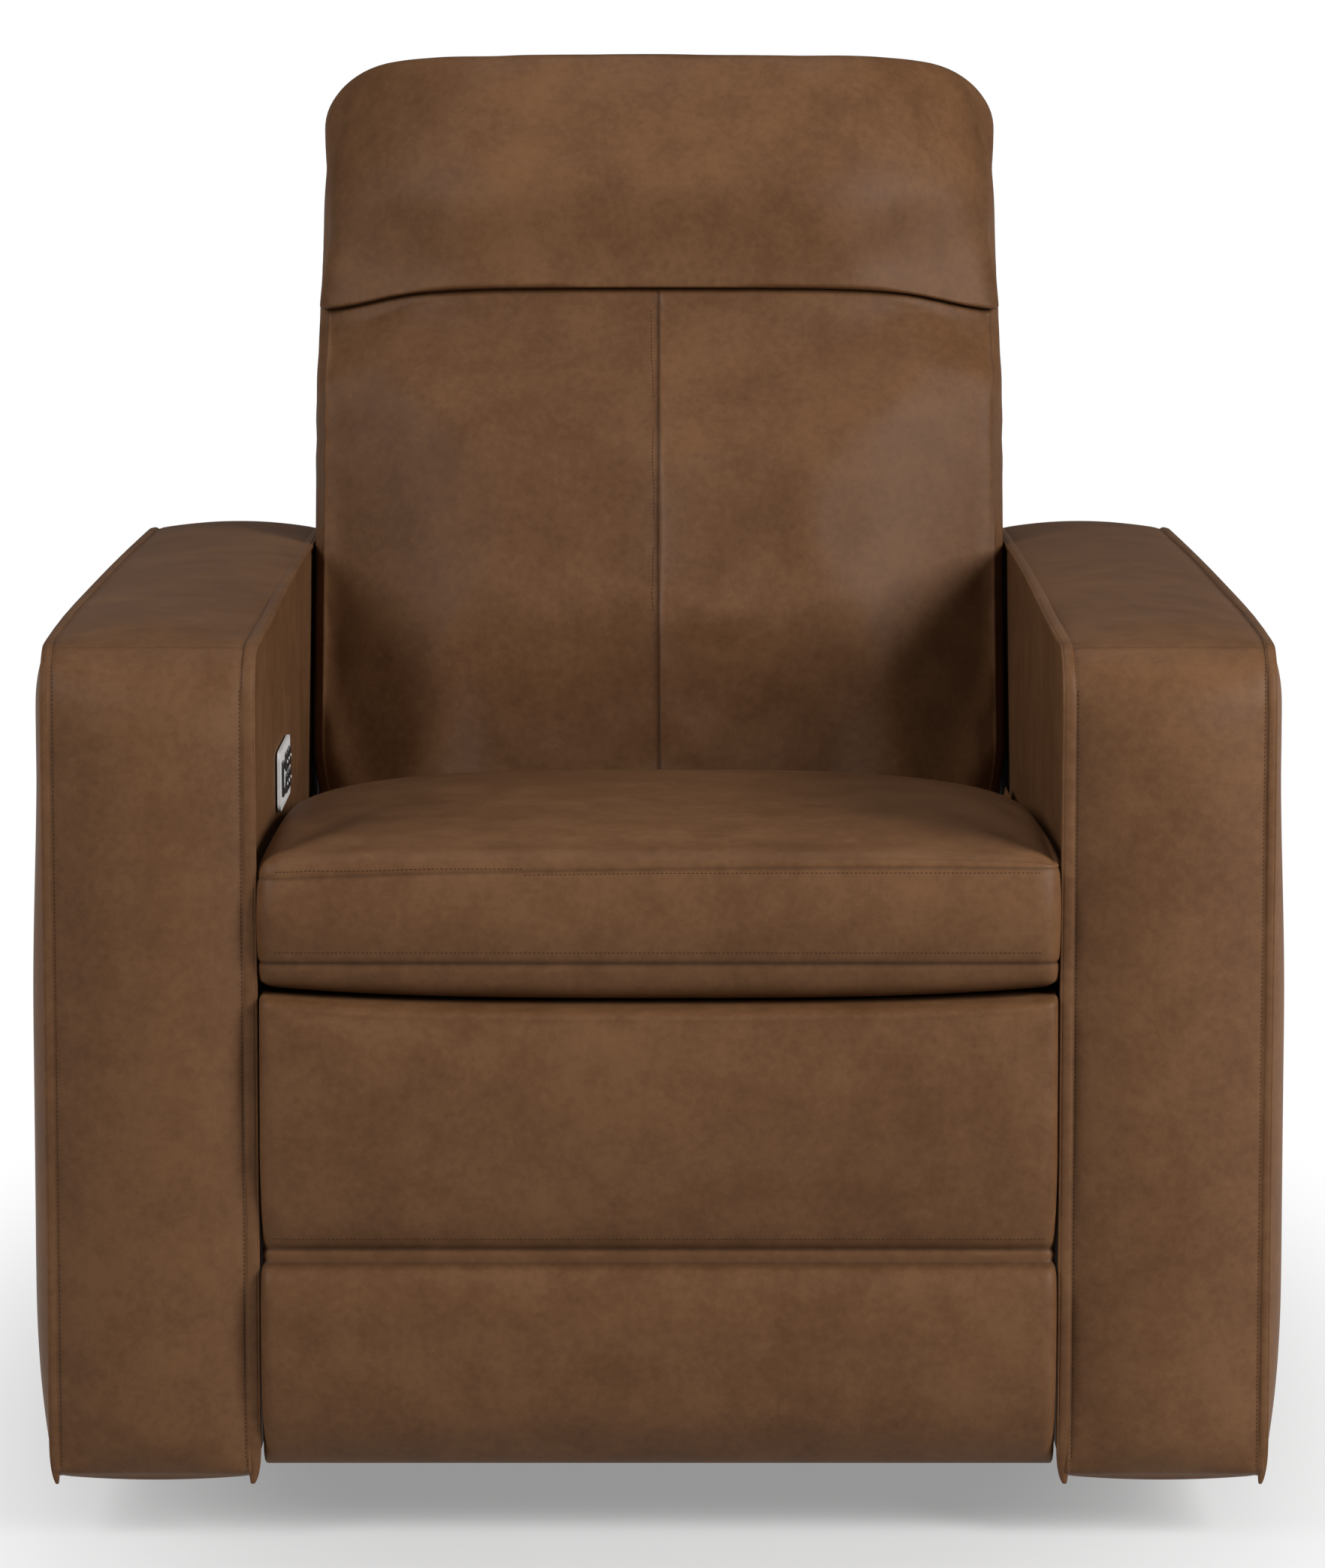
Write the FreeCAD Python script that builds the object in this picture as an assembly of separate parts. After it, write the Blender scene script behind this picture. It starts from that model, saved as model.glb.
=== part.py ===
import FreeCAD, Part
import math
import os
from FreeCAD import Vector as V

os.makedirs("parts", exist_ok=True)

# Swivel glider recliner, in millimetres. The chair faces -Y and the swivel axis is Z.
# Side views are drawn as (f, z): f is the distance forward of the swivel axis.

# Width of the seat and the room beside it
SEAT_HALF = 283.0
ARM_CLEAR = 6.0
BACK_CLEAR = 5.0
PAD_CLEAR = 8.0
PLATE_CLEAR = 2.0

# Arms
ARM_FRONT = 451.0
ARM_REAR = -369.0
ARM_BOTTOM = 50.0
ARM_TOP = 645.0
ARM_WIDTH = 142.0
ARM_BULGE = 9.0
ARM_ROUND = 40.0
ARM_WALL = 10.0
ARM_BOARD = 18.0
ARM_POST = 60.0
BOLT = 8.0
BOLT_FIT = 0.3
BOLT_HEAD = 7.5
BOLT_EDGE = 30.0

# Base and swivel
RING_RADIUS = 241.5
RING_TUBE = 12.5
RING_CHAMFER = 7.0
GLIDE_PAD = 4.0
PAD_RADIUS = 9.0
CROSS_WIDTH = 44.0
CROSS_THICK = 5.0
POST_RADIUS = 13.0
RACE_RADIUS = 78.0
RACE_THICK = 6.0
WASHER_THICK = 3.0

# Glider stage and swing links
STAGE_HEIGHT = 17.0
STAGE_HALF = 175.0
CHANNEL_WIDTH = 36.0
SWING_F = 130.0
SWING_TOP = 215.0
SWING_LENGTH = 130.0
HANGER_INSET = 45.0
HANGER_FOOT = 42.0
HANGER_EAR = 18.0
BRACE_F = 50.0
BRACE_WIDTH = 36.0
PLATE = 4.0
LAYER_GAP = 3.0
STUD = 5.0
STUD_FIT = 0.06
OPEN_FIT = 0.5
HEAD_THICK = 1.6
LINK_HALF = 12.0

# Carriage that hangs on the swing links
RAIL_LOW = 66.0
RAIL_HIGH = 106.0
TUBE_SIDE = 25.0
TUBE_Z = 92.0
TUBE_FRONT_F = 20.0
TUBE_REAR_F = -237.0

# Seat
FLANGE_Z = 356.0
SEAT_RAIL = 32.0
SEAT_RAIL_WIDTH = 40.0
SEAT_FRONT = 462.0
SEAT_BOTTOM = 395.0
SEAT_LOWER_SEAM = 418.0
SEAT_TOP_SEAM = 482.0
SEAT_CROWN = 514.0
SEAT_ROLL = 137.0
ROLL_GAP = 3.0
WEB_THICK = 1.5
WEB_WIDTH = 50.0

# Back, drawn upright about its hinge as (n, t) and then leaned
HINGE_F = -152.0
HINGE_Z = 345.0
BACK_LEAN = 16.0
BACK_WALL = 9.5
BACK_REAR = -145.0
BACK_SKIRT = 0.0
BACK_SPLIT = 20.0
BACK_FRONT = 86.0
BRACKET_CLEAR = 1.5
BRACKET_HALF = 20.0
FRAME_GAP = 10.0
FRAME_RAIL = 40.0

# Headrest
HEAD_N = -60.0
HEAD_T = 440.0
HEAD_ROLL = 126.5
HEAD_RISE = 298.0
HEAD_FRONT = 84.0
HEAD_SHAFT = 8.0
HEAD_INSET = 69.0

# Footrest linkage
DRIVE_F = 306.0
DRIVE_Z = 336.0
DRIVE_LINK = 240.0
DRIVE_ANGLE = -112.0
REAR_OFFSET = 64.0
REAR_ANGLE = -154.0
FOOT_F = 342.0
FOOT_Z = 236.0
GUIDE_ARM = 70.0
DRIVE_TUBE = 14.0
DRIVE_STUB = 10.0
BOARD_THICK = 14.0
BOARD_REAR = 387.0
PAD_FRONT = 458.0
PAD_TOP = 390.0
PAD_LOW = 62.0
PAD_BAND = 201.0
BAND_WIDTH = 6.0

# Recline actuator
CRANK = 62.0
CRANK_ANGLE = 114.4
MOTOR_F = 100.0
MOTOR_Z = 150.0
ROD = 9.0
ROD_FIT = 0.4
LUG_GAP = 9.0

# Control plate in the arm on the viewer's left
CONTROL_F = 134.0
CONTROL_Z = 508.0
CONTROL_LONG = 102.0
CONTROL_HIGH = 46.0
BEZEL = 2.4
KEY_SIZE = 13.0
KEY_PITCH = 17.0
KEYS_BACK = 18.0
HOME_FORWARD = 29.0
KEY_GAP = 0.5
KEY_TRAVEL = 1.0


def at(f, z, x=0.0):
    return V(x, -f, z)


def polar(p, angle, r):
    a = math.radians(angle)
    return (p[0] + r * math.cos(a), p[1] + r * math.sin(a))


def outline(x, start, steps):
    """Closed wire in the side view at x; a step is (end,) for a line or (middle, end) for an arc."""
    edges = []
    here = start
    for step in list(steps) + [(start,)]:
        end = step[-1]
        if math.dist(here, end) > 1e-6:
            if len(step) == 1:
                edges.append(Part.makeLine(at(*here, x), at(*end, x)))
            else:
                arc = Part.Arc(at(*here, x), at(*step[0], x), at(*end, x))
                edges.append(arc.toShape())
        here = end
    return Part.Wire(edges)


def plate(x0, x1, start, steps):
    return Part.Face(outline(x0, start, steps)).extrude(V(x1 - x0, 0, 0))


def rod(p, r, x0, x1):
    return Part.makeCylinder(r, x1 - x0, at(p[0], p[1], x0), V(1, 0, 0))


def bar(p, q, r, x0, x1):
    """Flat link with round ends between two pivots of the side view."""
    long = math.dist(p, q)
    d = ((q[0] - p[0]) / long, (q[1] - p[1]) / long)
    n = (-d[1] * r, d[0] * r)
    start = (p[0] + n[0], p[1] + n[1])
    steps = [
        ((q[0] + n[0], q[1] + n[1]),),
        ((q[0] + d[0] * r, q[1] + d[1] * r), (q[0] - n[0], q[1] - n[1])),
        ((p[0] - n[0], p[1] - n[1]),),
        ((p[0] - d[0] * r, p[1] - d[1] * r), start),
    ]
    return plate(x0, x1, start, steps)


def block(f0, f1, z0, z1, x0, x1):
    return Part.makeBox(x1 - x0, f1 - f0, z1 - z0, V(x0, -f1, z0))


def stud(p, x0, x1, head_out=True):
    """Riveted stud from the face of a plate through the next link, with a flat head at its end."""
    head = HEAD_THICK
    if head_out:
        return rod(p, STUD, x0, x1).fuse(rod(p, STUD + 3.0, x1 - head, x1))
    return rod(p, STUD, x0, x1).fuse(rod(p, STUD + 3.0, x0, x0 + head))


def both(shape):
    return Part.makeCompound([shape, shape.mirror(V(0, 0, 0), V(1, 0, 0))])


def loft(wires):
    return Part.makeLoft(wires, True, True)


def lean(shape):
    """Tips a shape drawn about the back hinge to the upright rest angle of the back."""
    out = shape.copy()
    out.rotate(V(0, 0, 0), V(1, 0, 0), -BACK_LEAN)
    out.translate(at(HINGE_F, HINGE_Z))
    return out


def save(name, shape):
    shape.exportStep("parts/" + name + ".step")


def edge_drop(x, half, depth, width):
    """How far a padded face falls away near its side edge: a quarter round of the given width."""
    into = max(0.0, abs(x) - (half - width)) / width
    return depth * (1.0 - math.sqrt(max(0.0, 1.0 - into * into)))


def stations(half, width):
    """Section places across a cushion, closer together at the rounded edges."""
    side = [half, half - 0.15 * width, half - 0.5 * width, half - width]
    return [-s for s in side] + [s for s in reversed(side)]


# Widths that follow from the seat and the room beside it
ARM_INNER = SEAT_HALF + ARM_CLEAR
SIDE_OUT = ARM_INNER - PLATE_CLEAR
SIDE_PLATE_X = SIDE_OUT - PLATE
BACK_HALF = ARM_INNER - BACK_CLEAR
PAD_HALF = ARM_INNER - PAD_CLEAR
HANGER_X = SIDE_PLATE_X - HANGER_INSET
BRACKET_X = BACK_HALF - BACK_WALL - PLATE - BRACKET_CLEAR
HEAD_ARM_X = BRACKET_X - HEAD_INSET

# Heights that follow from the stack of base pieces
RING_TOP = GLIDE_PAD + 2 * RING_TUBE
CROSS_TOP = RING_TOP + CROSS_THICK
RACE_TOP = CROSS_TOP + RACE_THICK
WASHER_TOP = RACE_TOP + WASHER_THICK
STAGE_LOW = WASHER_TOP + RACE_THICK
STAGE_TOP = STAGE_LOW + STAGE_HEIGHT
SWING_X = HANGER_X + PLATE + PLATE
RAIL_X = SWING_X + PLATE + PLATE
SWING_LOW = SWING_TOP - SWING_LENGTH

# Layers of the footrest linkage, from the side plate inwards
LINK_X = SIDE_PLATE_X - LAYER_GAP - PLATE
REACH_X = LINK_X - LAYER_GAP - PLATE

# Pivots of the footrest linkage at rest
DRIVE = (DRIVE_F, DRIVE_Z)
KNEE = polar(DRIVE, DRIVE_ANGLE, DRIVE_LINK)
REAR = polar(DRIVE, REAR_ANGLE, REAR_OFFSET)
HEEL = polar(KNEE, REAR_ANGLE, REAR_OFFSET)
FOOT = (FOOT_F, FOOT_Z)
GUIDE = polar(KNEE, DRIVE_ANGLE + 180.0, GUIDE_ARM)
FOOT_GUIDE = polar(FOOT, DRIVE_ANGLE + 180.0, GUIDE_ARM)
HINGE = (HINGE_F, HINGE_Z)
HEAD_TOP = HEAD_T + HEAD_RISE


def build_base():
    r = RING_TUBE
    k = RING_TUBE - RING_CHAMFER
    corners = [(r, -k), (r, k), (k, r), (-k, r), (-r, k), (-r, -k), (-k, -r), (k, -r), (r, -k)]
    section = [V(RING_RADIUS + u, 0, GLIDE_PAD + RING_TUBE + v) for u, v in corners]
    ring = Part.Face(Part.makePolygon(section))
    save("base_ring", ring.revolve(V(0, 0, 0), V(0, 0, 1), 360))

    pads = []
    for i in range(6):
        a = math.radians(60.0 * i + 30.0)
        spot = V(RING_RADIUS * math.cos(a), RING_RADIUS * math.sin(a), 0)
        pads.append(Part.makeCylinder(PAD_RADIUS, GLIDE_PAD, spot))
    save("floor_glides", Part.makeCompound(pads))

    reach = RING_RADIUS + RING_TUBE - RING_CHAMFER
    low = RING_TOP
    half = CROSS_WIDTH / 2
    bore = Part.makeCylinder(POST_RADIUS + 0.2, 40, V(0, 0, low - 5))
    bars = [block(-reach, reach, low, CROSS_TOP, -half, half).cut(bore)]
    for s in (-1, 1):
        bars.append(block(-half, half, low, CROSS_TOP, *sorted((s * half, s * reach))))
    save("base_cross", Part.makeCompound(bars))

    post = Part.makeCylinder(POST_RADIUS, STAGE_TOP - low, V(0, 0, low))
    post = post.fuse(Part.makeCylinder(RACE_RADIUS, RACE_THICK, V(0, 0, CROSS_TOP)))
    save("swivel_post", post.removeSplitter())

    washer = Part.makeCylinder(RACE_RADIUS - 6, WASHER_THICK, V(0, 0, RACE_TOP))
    save("swivel_washer", washer.cut(Part.makeCylinder(POST_RADIUS + 0.5, 20, V(0, 0, RACE_TOP - 5))))


def build_stage():
    bore = Part.makeCylinder(POST_RADIUS + STUD_FIT, 60, V(0, 0, WASHER_TOP - 5))
    save("swivel_plate", Part.makeCylinder(RACE_RADIUS, RACE_THICK, V(0, 0, WASHER_TOP)).cut(bore))

    x1 = HANGER_X + PLATE
    x0 = x1 - CHANNEL_WIDTH
    side = block(-STAGE_HALF, STAGE_HALF, STAGE_LOW, STAGE_TOP, x0, x1)
    side = side.cut(block(-STAGE_HALF, STAGE_HALF, STAGE_LOW, STAGE_TOP - 3, x0 + 3, x1 - 3))
    frame = [side, side.mirror(V(0, 0, 0), V(1, 0, 0))]
    half = BRACE_WIDTH / 2
    for f in (-BRACE_F, BRACE_F):
        frame.append(block(f - half, f + half, STAGE_LOW, STAGE_TOP, -x0, x0))
    save("stage_frame", Part.makeCompound(frame))

    hangers = []
    for f in (-SWING_F, SWING_F):
        top = (f, SWING_TOP)
        foot = HANGER_FOOT
        ear = HANGER_EAR
        shape = plate(HANGER_X, HANGER_X + PLATE, (f - foot, STAGE_TOP), [
            ((f + foot, STAGE_TOP),),
            ((f + ear, SWING_TOP),),
            ((f, SWING_TOP + ear), (f - ear, SWING_TOP)),
        ])
        low = STAGE_TOP + ear
        high = SWING_TOP - 2 * ear
        shape = shape.cut(plate(HANGER_X - 1, HANGER_X + PLATE + 1, (f - 0.5 * foot, low), [
            ((f + 0.5 * foot, low),), ((f + 0.5 * ear, high),), ((f - 0.5 * ear, high),),
        ]))
        shape = shape.fuse(stud(top, HANGER_X, SWING_X + PLATE + 0.5 + HEAD_THICK))
        hangers.append(shape.removeSplitter())
    save("stage_hangers", both(Part.makeCompound(hangers)))


def build_swings():
    for name, f in (("front_swing_links", SWING_F), ("rear_swing_links", -SWING_F)):
        top = (f, SWING_TOP)
        low = (f, SWING_LOW)
        link = bar(low, top, LINK_HALF, SWING_X, SWING_X + PLATE)
        for p in (top, low):
            link = link.cut(rod(p, STUD + STUD_FIT, SWING_X - 1, SWING_X + PLATE + 1))
        save(name, both(link))


def build_carriage():
    rail = block(TUBE_REAR_F - 30, SWING_F + 18, RAIL_LOW, RAIL_HIGH, RAIL_X, RAIL_X + PLATE)
    half = TUBE_SIDE / 2
    for f in (TUBE_FRONT_F, TUBE_REAR_F):
        rail = rail.cut(block(f - half, f + half, TUBE_Z - half, TUBE_Z + half, RAIL_X - 1, RAIL_X + 9))
    for f in (-SWING_F, SWING_F):
        rail = rail.fuse(stud((f, SWING_LOW), SWING_X - 0.5 - HEAD_THICK, RAIL_X, head_out=False))
    save("glide_rails", both(rail.removeSplitter()))

    wall = 2.0
    for name, f in (("front_cross_tube", TUBE_FRONT_F), ("rear_cross_tube", TUBE_REAR_F)):
        x = SIDE_PLATE_X
        tube = block(f - half, f + half, TUBE_Z - half, TUBE_Z + half, -x, x)
        bore = half - wall
        save(name, tube.cut(block(f - bore, f + bore, TUBE_Z - bore, TUBE_Z + bore, -x - 1, x + 1)))


def bolt_places():
    high = FLANGE_Z - BOLT_EDGE
    low = TUBE_Z
    ends = (TUBE_FRONT_F + 2 * BOLT_EDGE, TUBE_REAR_F + 2.5 * BOLT_EDGE)
    return [(HINGE_F + 0.45 * (DRIVE_F - HINGE_F), high), (HINGE_F + 2.4 * BOLT_EDGE, high),
            (ends[1], low), (ends[0], low)]


def bolt_hole(p, x0, x1):
    half = BOLT / 2 + BOLT_FIT
    return block(p[0] - half, p[0] + half, p[1] - half, p[1] + half, x0, x1)


def hexagon(p, r, x0, x1):
    corners = [at(*polar(p, 60.0 * i, r), x0) for i in range(7)]
    return Part.Face(Part.makePolygon(corners)).extrude(V(x1 - x0, 0, 0))


def build_side_plates():
    low = RAIL_LOW
    ear = 22.0
    start = (TUBE_REAR_F - 25, low)
    steps = [
        ((TUBE_FRONT_F + 90, low),),
        ((TUBE_FRONT_F + 110, RAIL_HIGH),),
        ((DRIVE_F - 90, DRIVE_Z - 52),),
        ((DRIVE_F, DRIVE_Z - 26),),
        ((DRIVE_F + 26, DRIVE_Z), (DRIVE_F, FLANGE_Z),),
        ((HINGE_F + 60, FLANGE_Z),),
        ((HINGE_F, HINGE_Z + ear),),
        ((HINGE_F - ear, HINGE_Z), (HINGE_F - 16, HINGE_Z - 16),),
        ((TUBE_REAR_F - 25, RAIL_HIGH + 40),),
    ]
    body = plate(SIDE_PLATE_X, SIDE_OUT, start, steps)
    window = plate(SIDE_PLATE_X - 1, SIDE_OUT + 1, (TUBE_REAR_F + 40, RAIL_HIGH + 16), [
        ((TUBE_FRONT_F + 62, RAIL_HIGH + 16),),
        ((DRIVE_F - 150, DRIVE_Z - 60),),
        ((HINGE_F + 44, DRIVE_Z - 60),),
    ])
    body = body.cut(window)
    flange = block(HINGE_F + 60, DRIVE_F + 30, FLANGE_Z, FLANGE_Z + PLATE, SIDE_PLATE_X - 50, SIDE_OUT)
    body = body.fuse(flange)
    body = body.cut(rod(DRIVE, DRIVE_STUB + STUD_FIT, SIDE_PLATE_X - 1, SIDE_OUT + 1))
    for p in bolt_places():
        body = body.cut(bolt_hole(p, SIDE_PLATE_X - 1, SIDE_OUT + 1))
    body = body.fuse(stud(REAR, LINK_X - 0.6 - HEAD_THICK, SIDE_PLATE_X, head_out=False))
    pin = stud(HINGE, BRACKET_X - 0.7 - HEAD_THICK, SIDE_PLATE_X, head_out=False)
    pin = pin.fuse(rod(HINGE, STUD + 5.0, BRACKET_X + PLATE + 0.5, SIDE_PLATE_X))
    body = body.fuse(pin)
    save("side_plates", both(body.removeSplitter()))


def arm_section(inset):
    """Cross-section of the arm looking from the front: flat inner face, crowned top, bulged outer face."""
    x0 = ARM_INNER + inset
    x1 = ARM_INNER + ARM_WIDTH - inset
    low = ARM_BOTTOM + inset
    top = ARM_TOP - inset
    mid = (x0 + x1) / 2
    out = x1 + ARM_BULGE
    y = -(ARM_FRONT - inset)
    a = V(x0, y, low)
    b = V(x1 + 3.0, y, low)
    c = V(x1, y, top)
    d = V(x0, y, top - 4.0)
    edges = [
        Part.makeLine(a, b),
        Part.Arc(b, V(out, y, low + 0.45 * (top - low)), c).toShape(),
        Part.Arc(c, V(mid, y, top + 4.0), d).toShape(),
        Part.makeLine(d, a),
    ]
    long = ARM_FRONT - ARM_REAR - 2 * inset
    return Part.Face(Part.Wire(edges)).extrude(V(0, long, 0))


def arm_side(inset):
    """Side view of the arm, with the rounded front corner over which the top strip runs."""
    front = ARM_FRONT - inset
    rear = ARM_REAR + inset
    low = ARM_BOTTOM + inset
    top = ARM_TOP + 6.0 - inset
    r = ARM_ROUND - inset
    k = r * (1 - math.sqrt(0.5))
    return plate(0, ARM_INNER + ARM_WIDTH + 60, (rear, low), [
        ((front, low),),
        ((front, top - r),),
        ((front - k, top - k), (front - r, top)),
        ((rear + 20, top),),
        ((rear + 6, top - 6), (rear, top - 20)),
    ])


def build_arms():
    cover = arm_section(0).common(arm_side(0))
    cover = cover.cut(arm_section(ARM_WALL).common(arm_side(ARM_WALL)))
    for p in bolt_places():
        cover = cover.cut(bolt_hole(p, ARM_INNER - 1, ARM_INNER + ARM_WALL + 1))
    save("right_arm_cover", cover)
    pocket = control_block(CONTROL_LONG - 8, CONTROL_HIGH - 8, ARM_INNER - 1, ARM_INNER + ARM_WALL + 1)
    left = cover.mirror(V(0, 0, 0), V(1, 0, 0))
    save("left_arm_cover", left.cut(pocket))

    x0 = ARM_INNER + ARM_WALL
    f0 = ARM_REAR + ARM_WALL + 2
    f1 = ARM_FRONT - ARM_ROUND
    z0 = ARM_BOTTOM + ARM_WALL
    z1 = ARM_TOP - ARM_WALL - 6
    frame = block(f0, f1, z0, z1, x0, x0 + ARM_BOARD)
    frame = frame.cut(block(f0 + ARM_POST, f1 - ARM_POST, z0 + 260, z1 - ARM_POST, x0 - 1, x0 + 30))
    frame = frame.cut(block(f0 + ARM_POST, f1 - ARM_POST, z0 + ARM_POST, z0 + 200, x0 - 1, x0 + 30))
    for p in bolt_places():
        frame = frame.cut(bolt_hole(p, x0 - 1, x0 + ARM_BOARD + 1))
    save("right_arm_frame", frame)
    save("left_arm_frame", frame.mirror(V(0, 0, 0), V(1, 0, 0)))

    bolts = []
    for p in bolt_places():
        half = BOLT / 2
        bolt = block(p[0] - half, p[0] + half, p[1] - half, p[1] + half, SIDE_PLATE_X, x0 + ARM_BOARD)
        bolt = bolt.fuse(hexagon(p, BOLT_HEAD, SIDE_PLATE_X - PLATE_CLEAR, SIDE_PLATE_X))
        bolt = bolt.fuse(hexagon(p, BOLT_HEAD + 3, SIDE_OUT, ARM_INNER))
        bolts.append(bolt.removeSplitter())
    save("arm_bolts", both(Part.makeCompound(bolts)))

    panel = block(ARM_REAR, ARM_REAR + 14, ARM_BOTTOM + 10, HINGE_Z - 60, -ARM_INNER, ARM_INNER)
    hole = Part.makeCylinder(11.2, 40, V(-200, -ARM_REAR - 30, 110), V(0, 1, 0))
    save("rear_panel", panel.cut(hole))
    inlet = Part.makeCylinder(11.0, 30, V(-200, -ARM_REAR - 29, 110), V(0, 1, 0))
    inlet = inlet.fuse(Part.makeCylinder(15.0, 3, V(-200, -ARM_REAR, 110), V(0, 1, 0)))
    socket = Part.makeCylinder(4.0, 12, V(-200, -ARM_REAR - 8, 110), V(0, 1, 0))
    save("power_inlet", inlet.cut(socket).removeSplitter())


def seat_wire(x):
    drop = edge_drop(x, SEAT_HALF, 26.0, 40.0)
    pull = edge_drop(x, SEAT_HALF, 16.0, 40.0)
    front = SEAT_FRONT - pull
    top = SEAT_CROWN - drop
    seam = SEAT_TOP_SEAM - 0.5 * drop
    roll = SEAT_ROLL - drop
    shoulder = (HINGE_F + 76, HINGE_Z + roll + 4)
    crest = polar(HINGE, 68.0, roll)
    bend = polar(HINGE, 95.0, roll)
    tail = polar(HINGE, 121.0, roll)
    mid_f = (front + HINGE_F) / 2 + 90
    return outline(x, (front - 26, SEAT_BOTTOM), [
        ((front - 12, SEAT_BOTTOM + 7), (front - 6, SEAT_LOWER_SEAM)),
        ((front, (SEAT_LOWER_SEAM + seam) / 2), (front - 4, seam)),
        ((front - 14, seam + 0.55 * (top - seam)), (front - 46, top - 6)),
        ((mid_f, top), shoulder),
        ((shoulder[0] - 14, shoulder[1] - 4), crest),
        (bend, tail),
        ((tail[0], SEAT_BOTTOM),),
    ])


def build_seat():
    inner = SIDE_PLATE_X - 20
    z0 = FLANGE_Z + PLATE
    z1 = z0 + SEAT_RAIL
    f0 = HINGE_F + 46
    f1 = BOARD_REAR - 12
    w = SEAT_RAIL_WIDTH
    boards = [block(f0, f0 + w, z0, z1, -inner, inner), block(f1 - w, f1, z0, z1, -inner, inner)]
    for s in (-1, 1):
        edge = sorted((s * inner, s * (inner - w)))
        boards.append(block(f0 + w, f1 - w, z0, z1, *edge))
    save("seat_frame", Part.makeCompound(boards))

    straps = []
    for i in range(5):
        x = (i - 2) * 88.0
        straps.append(block(f0, f1, z1, z1 + WEB_THICK, x - WEB_WIDTH / 2, x + WEB_WIDTH / 2))
    for i in range(5):
        f = f0 + 50 + i * (f1 - f0 - 100) / 4
        straps.append(block(f - 22, f + 22, z1 + WEB_THICK, z1 + 2 * WEB_THICK, -inner, inner))
    save("seat_webbing", Part.makeCompound(straps))

    cushion = loft([seat_wire(x) for x in stations(SEAT_HALF, 40.0)])
    for s in (-1, 1):
        x = (BRACKET_X - 5.0) * s
        edge = sorted((x, x + 40 * s))
        cushion = cushion.cut(block(HINGE_F - 120, HINGE_F + 36, SEAT_BOTTOM - 1, SEAT_CROWN, *edge))
    save("seat_cushion", cushion)

    motor = block(DRIVE_F - 110, DRIVE_F + 24, DRIVE_Z - 30, FLANGE_Z + PLATE, 40, 100)
    motor = motor.fuse(Part.makeCylinder(25, 95, at(DRIVE_F - 80, DRIVE_Z - 8, 100), V(1, 0, 0)))
    motor = motor.cut(rod(DRIVE, DRIVE_TUBE + STUD_FIT, 30, 110))
    save("footrest_motor", motor.removeSplitter())

    low = (TUBE_FRONT_F + TUBE_SIDE / 2 + 10, TUBE_Z)
    lug = bar(low, (MOTOR_F, MOTOR_Z), 14.0, LUG_GAP + 12, LUG_GAP + 16)
    lug = lug.cut(block(TUBE_FRONT_F - 40, TUBE_FRONT_F + TUBE_SIDE / 2, 0, 400, 0, 60))
    pair = lug.fuse(lug.mirror(V(0, 0, 0), V(1, 0, 0)))
    save("actuator_bracket", pair.fuse(rod((MOTOR_F, MOTOR_Z), STUD, -LUG_GAP - 16, LUG_GAP + 16)))


def back_profile(x):
    """Front padding of the lower back: rolled foot, crowned face, drawn in under the headrest."""
    pull = edge_drop(x, BACK_HALF - 6, 34.0, 46.0) + 5.0 * max(0.0, 1.0 - abs(x) / 5.0)
    low_r = SEAT_ROLL + ROLL_GAP
    front = BACK_FRONT - pull
    foot_n = 80.0 - pull
    foot_t = math.sqrt(low_r ** 2 - foot_n ** 2)
    split_t = math.sqrt(low_r ** 2 - BACK_SPLIT ** 2)
    turn = math.atan2(foot_t, foot_n) + math.atan2(split_t, BACK_SPLIT)
    mid = polar((0, 0), 0.5 * math.degrees(turn), low_r)
    crease_n = 46.0 - 0.7 * pull
    head = (HEAD_N, HEAD_T)
    crease_t = HEAD_T + math.sqrt(HEAD_ROLL ** 2 - (crease_n - HEAD_N) ** 2)
    top_t = HEAD_T + math.sqrt(HEAD_ROLL ** 2 - (BACK_SPLIT - HEAD_N) ** 2)
    neck = polar(head, 8.0, HEAD_ROLL)
    neck = (min(neck[0], front - 2.0), neck[1])
    a0 = math.degrees(math.atan2(crease_t - HEAD_T, crease_n - HEAD_N))
    a1 = math.degrees(math.atan2(top_t - HEAD_T, BACK_SPLIT - HEAD_N))
    return outline(x, (BACK_SPLIT, split_t), [
        (mid, (foot_n, foot_t)),
        ((front, 0.5 * (foot_t + 0.82 * HEAD_T)), (front - 12, 0.86 * HEAD_T)),
        ((crease_n + 12 - 0.1 * pull, HEAD_T + 20), (crease_n, crease_t)),
        (polar(head, 0.5 * (a0 + a1), HEAD_ROLL), (BACK_SPLIT, top_t)),
    ])


def shell_solid():
    """Outside cover of the lower back: rounded top under the headrest, hollowed foot, skirt behind."""
    head = (HEAD_N, HEAD_T)
    low_r = SEAT_ROLL + ROLL_GAP
    low_front = math.sqrt(low_r ** 2 - BACK_SPLIT ** 2)
    top_front = HEAD_T + math.sqrt(HEAD_ROLL ** 2 - (BACK_SPLIT - HEAD_N) ** 2)
    top_rear = HEAD_T + math.sqrt(HEAD_ROLL ** 2 - (BACK_REAR - HEAD_N) ** 2)
    return plate(-BACK_HALF, BACK_HALF, (BACK_REAR, BACK_SKIRT), [
        (polar((0, 0), 150.0, low_r),),
        ((0.0, low_r), (BACK_SPLIT, low_front)),
        ((BACK_SPLIT, top_front),),
        (polar(head, 90.0, HEAD_ROLL), (BACK_REAR, top_rear)),
    ])


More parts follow.
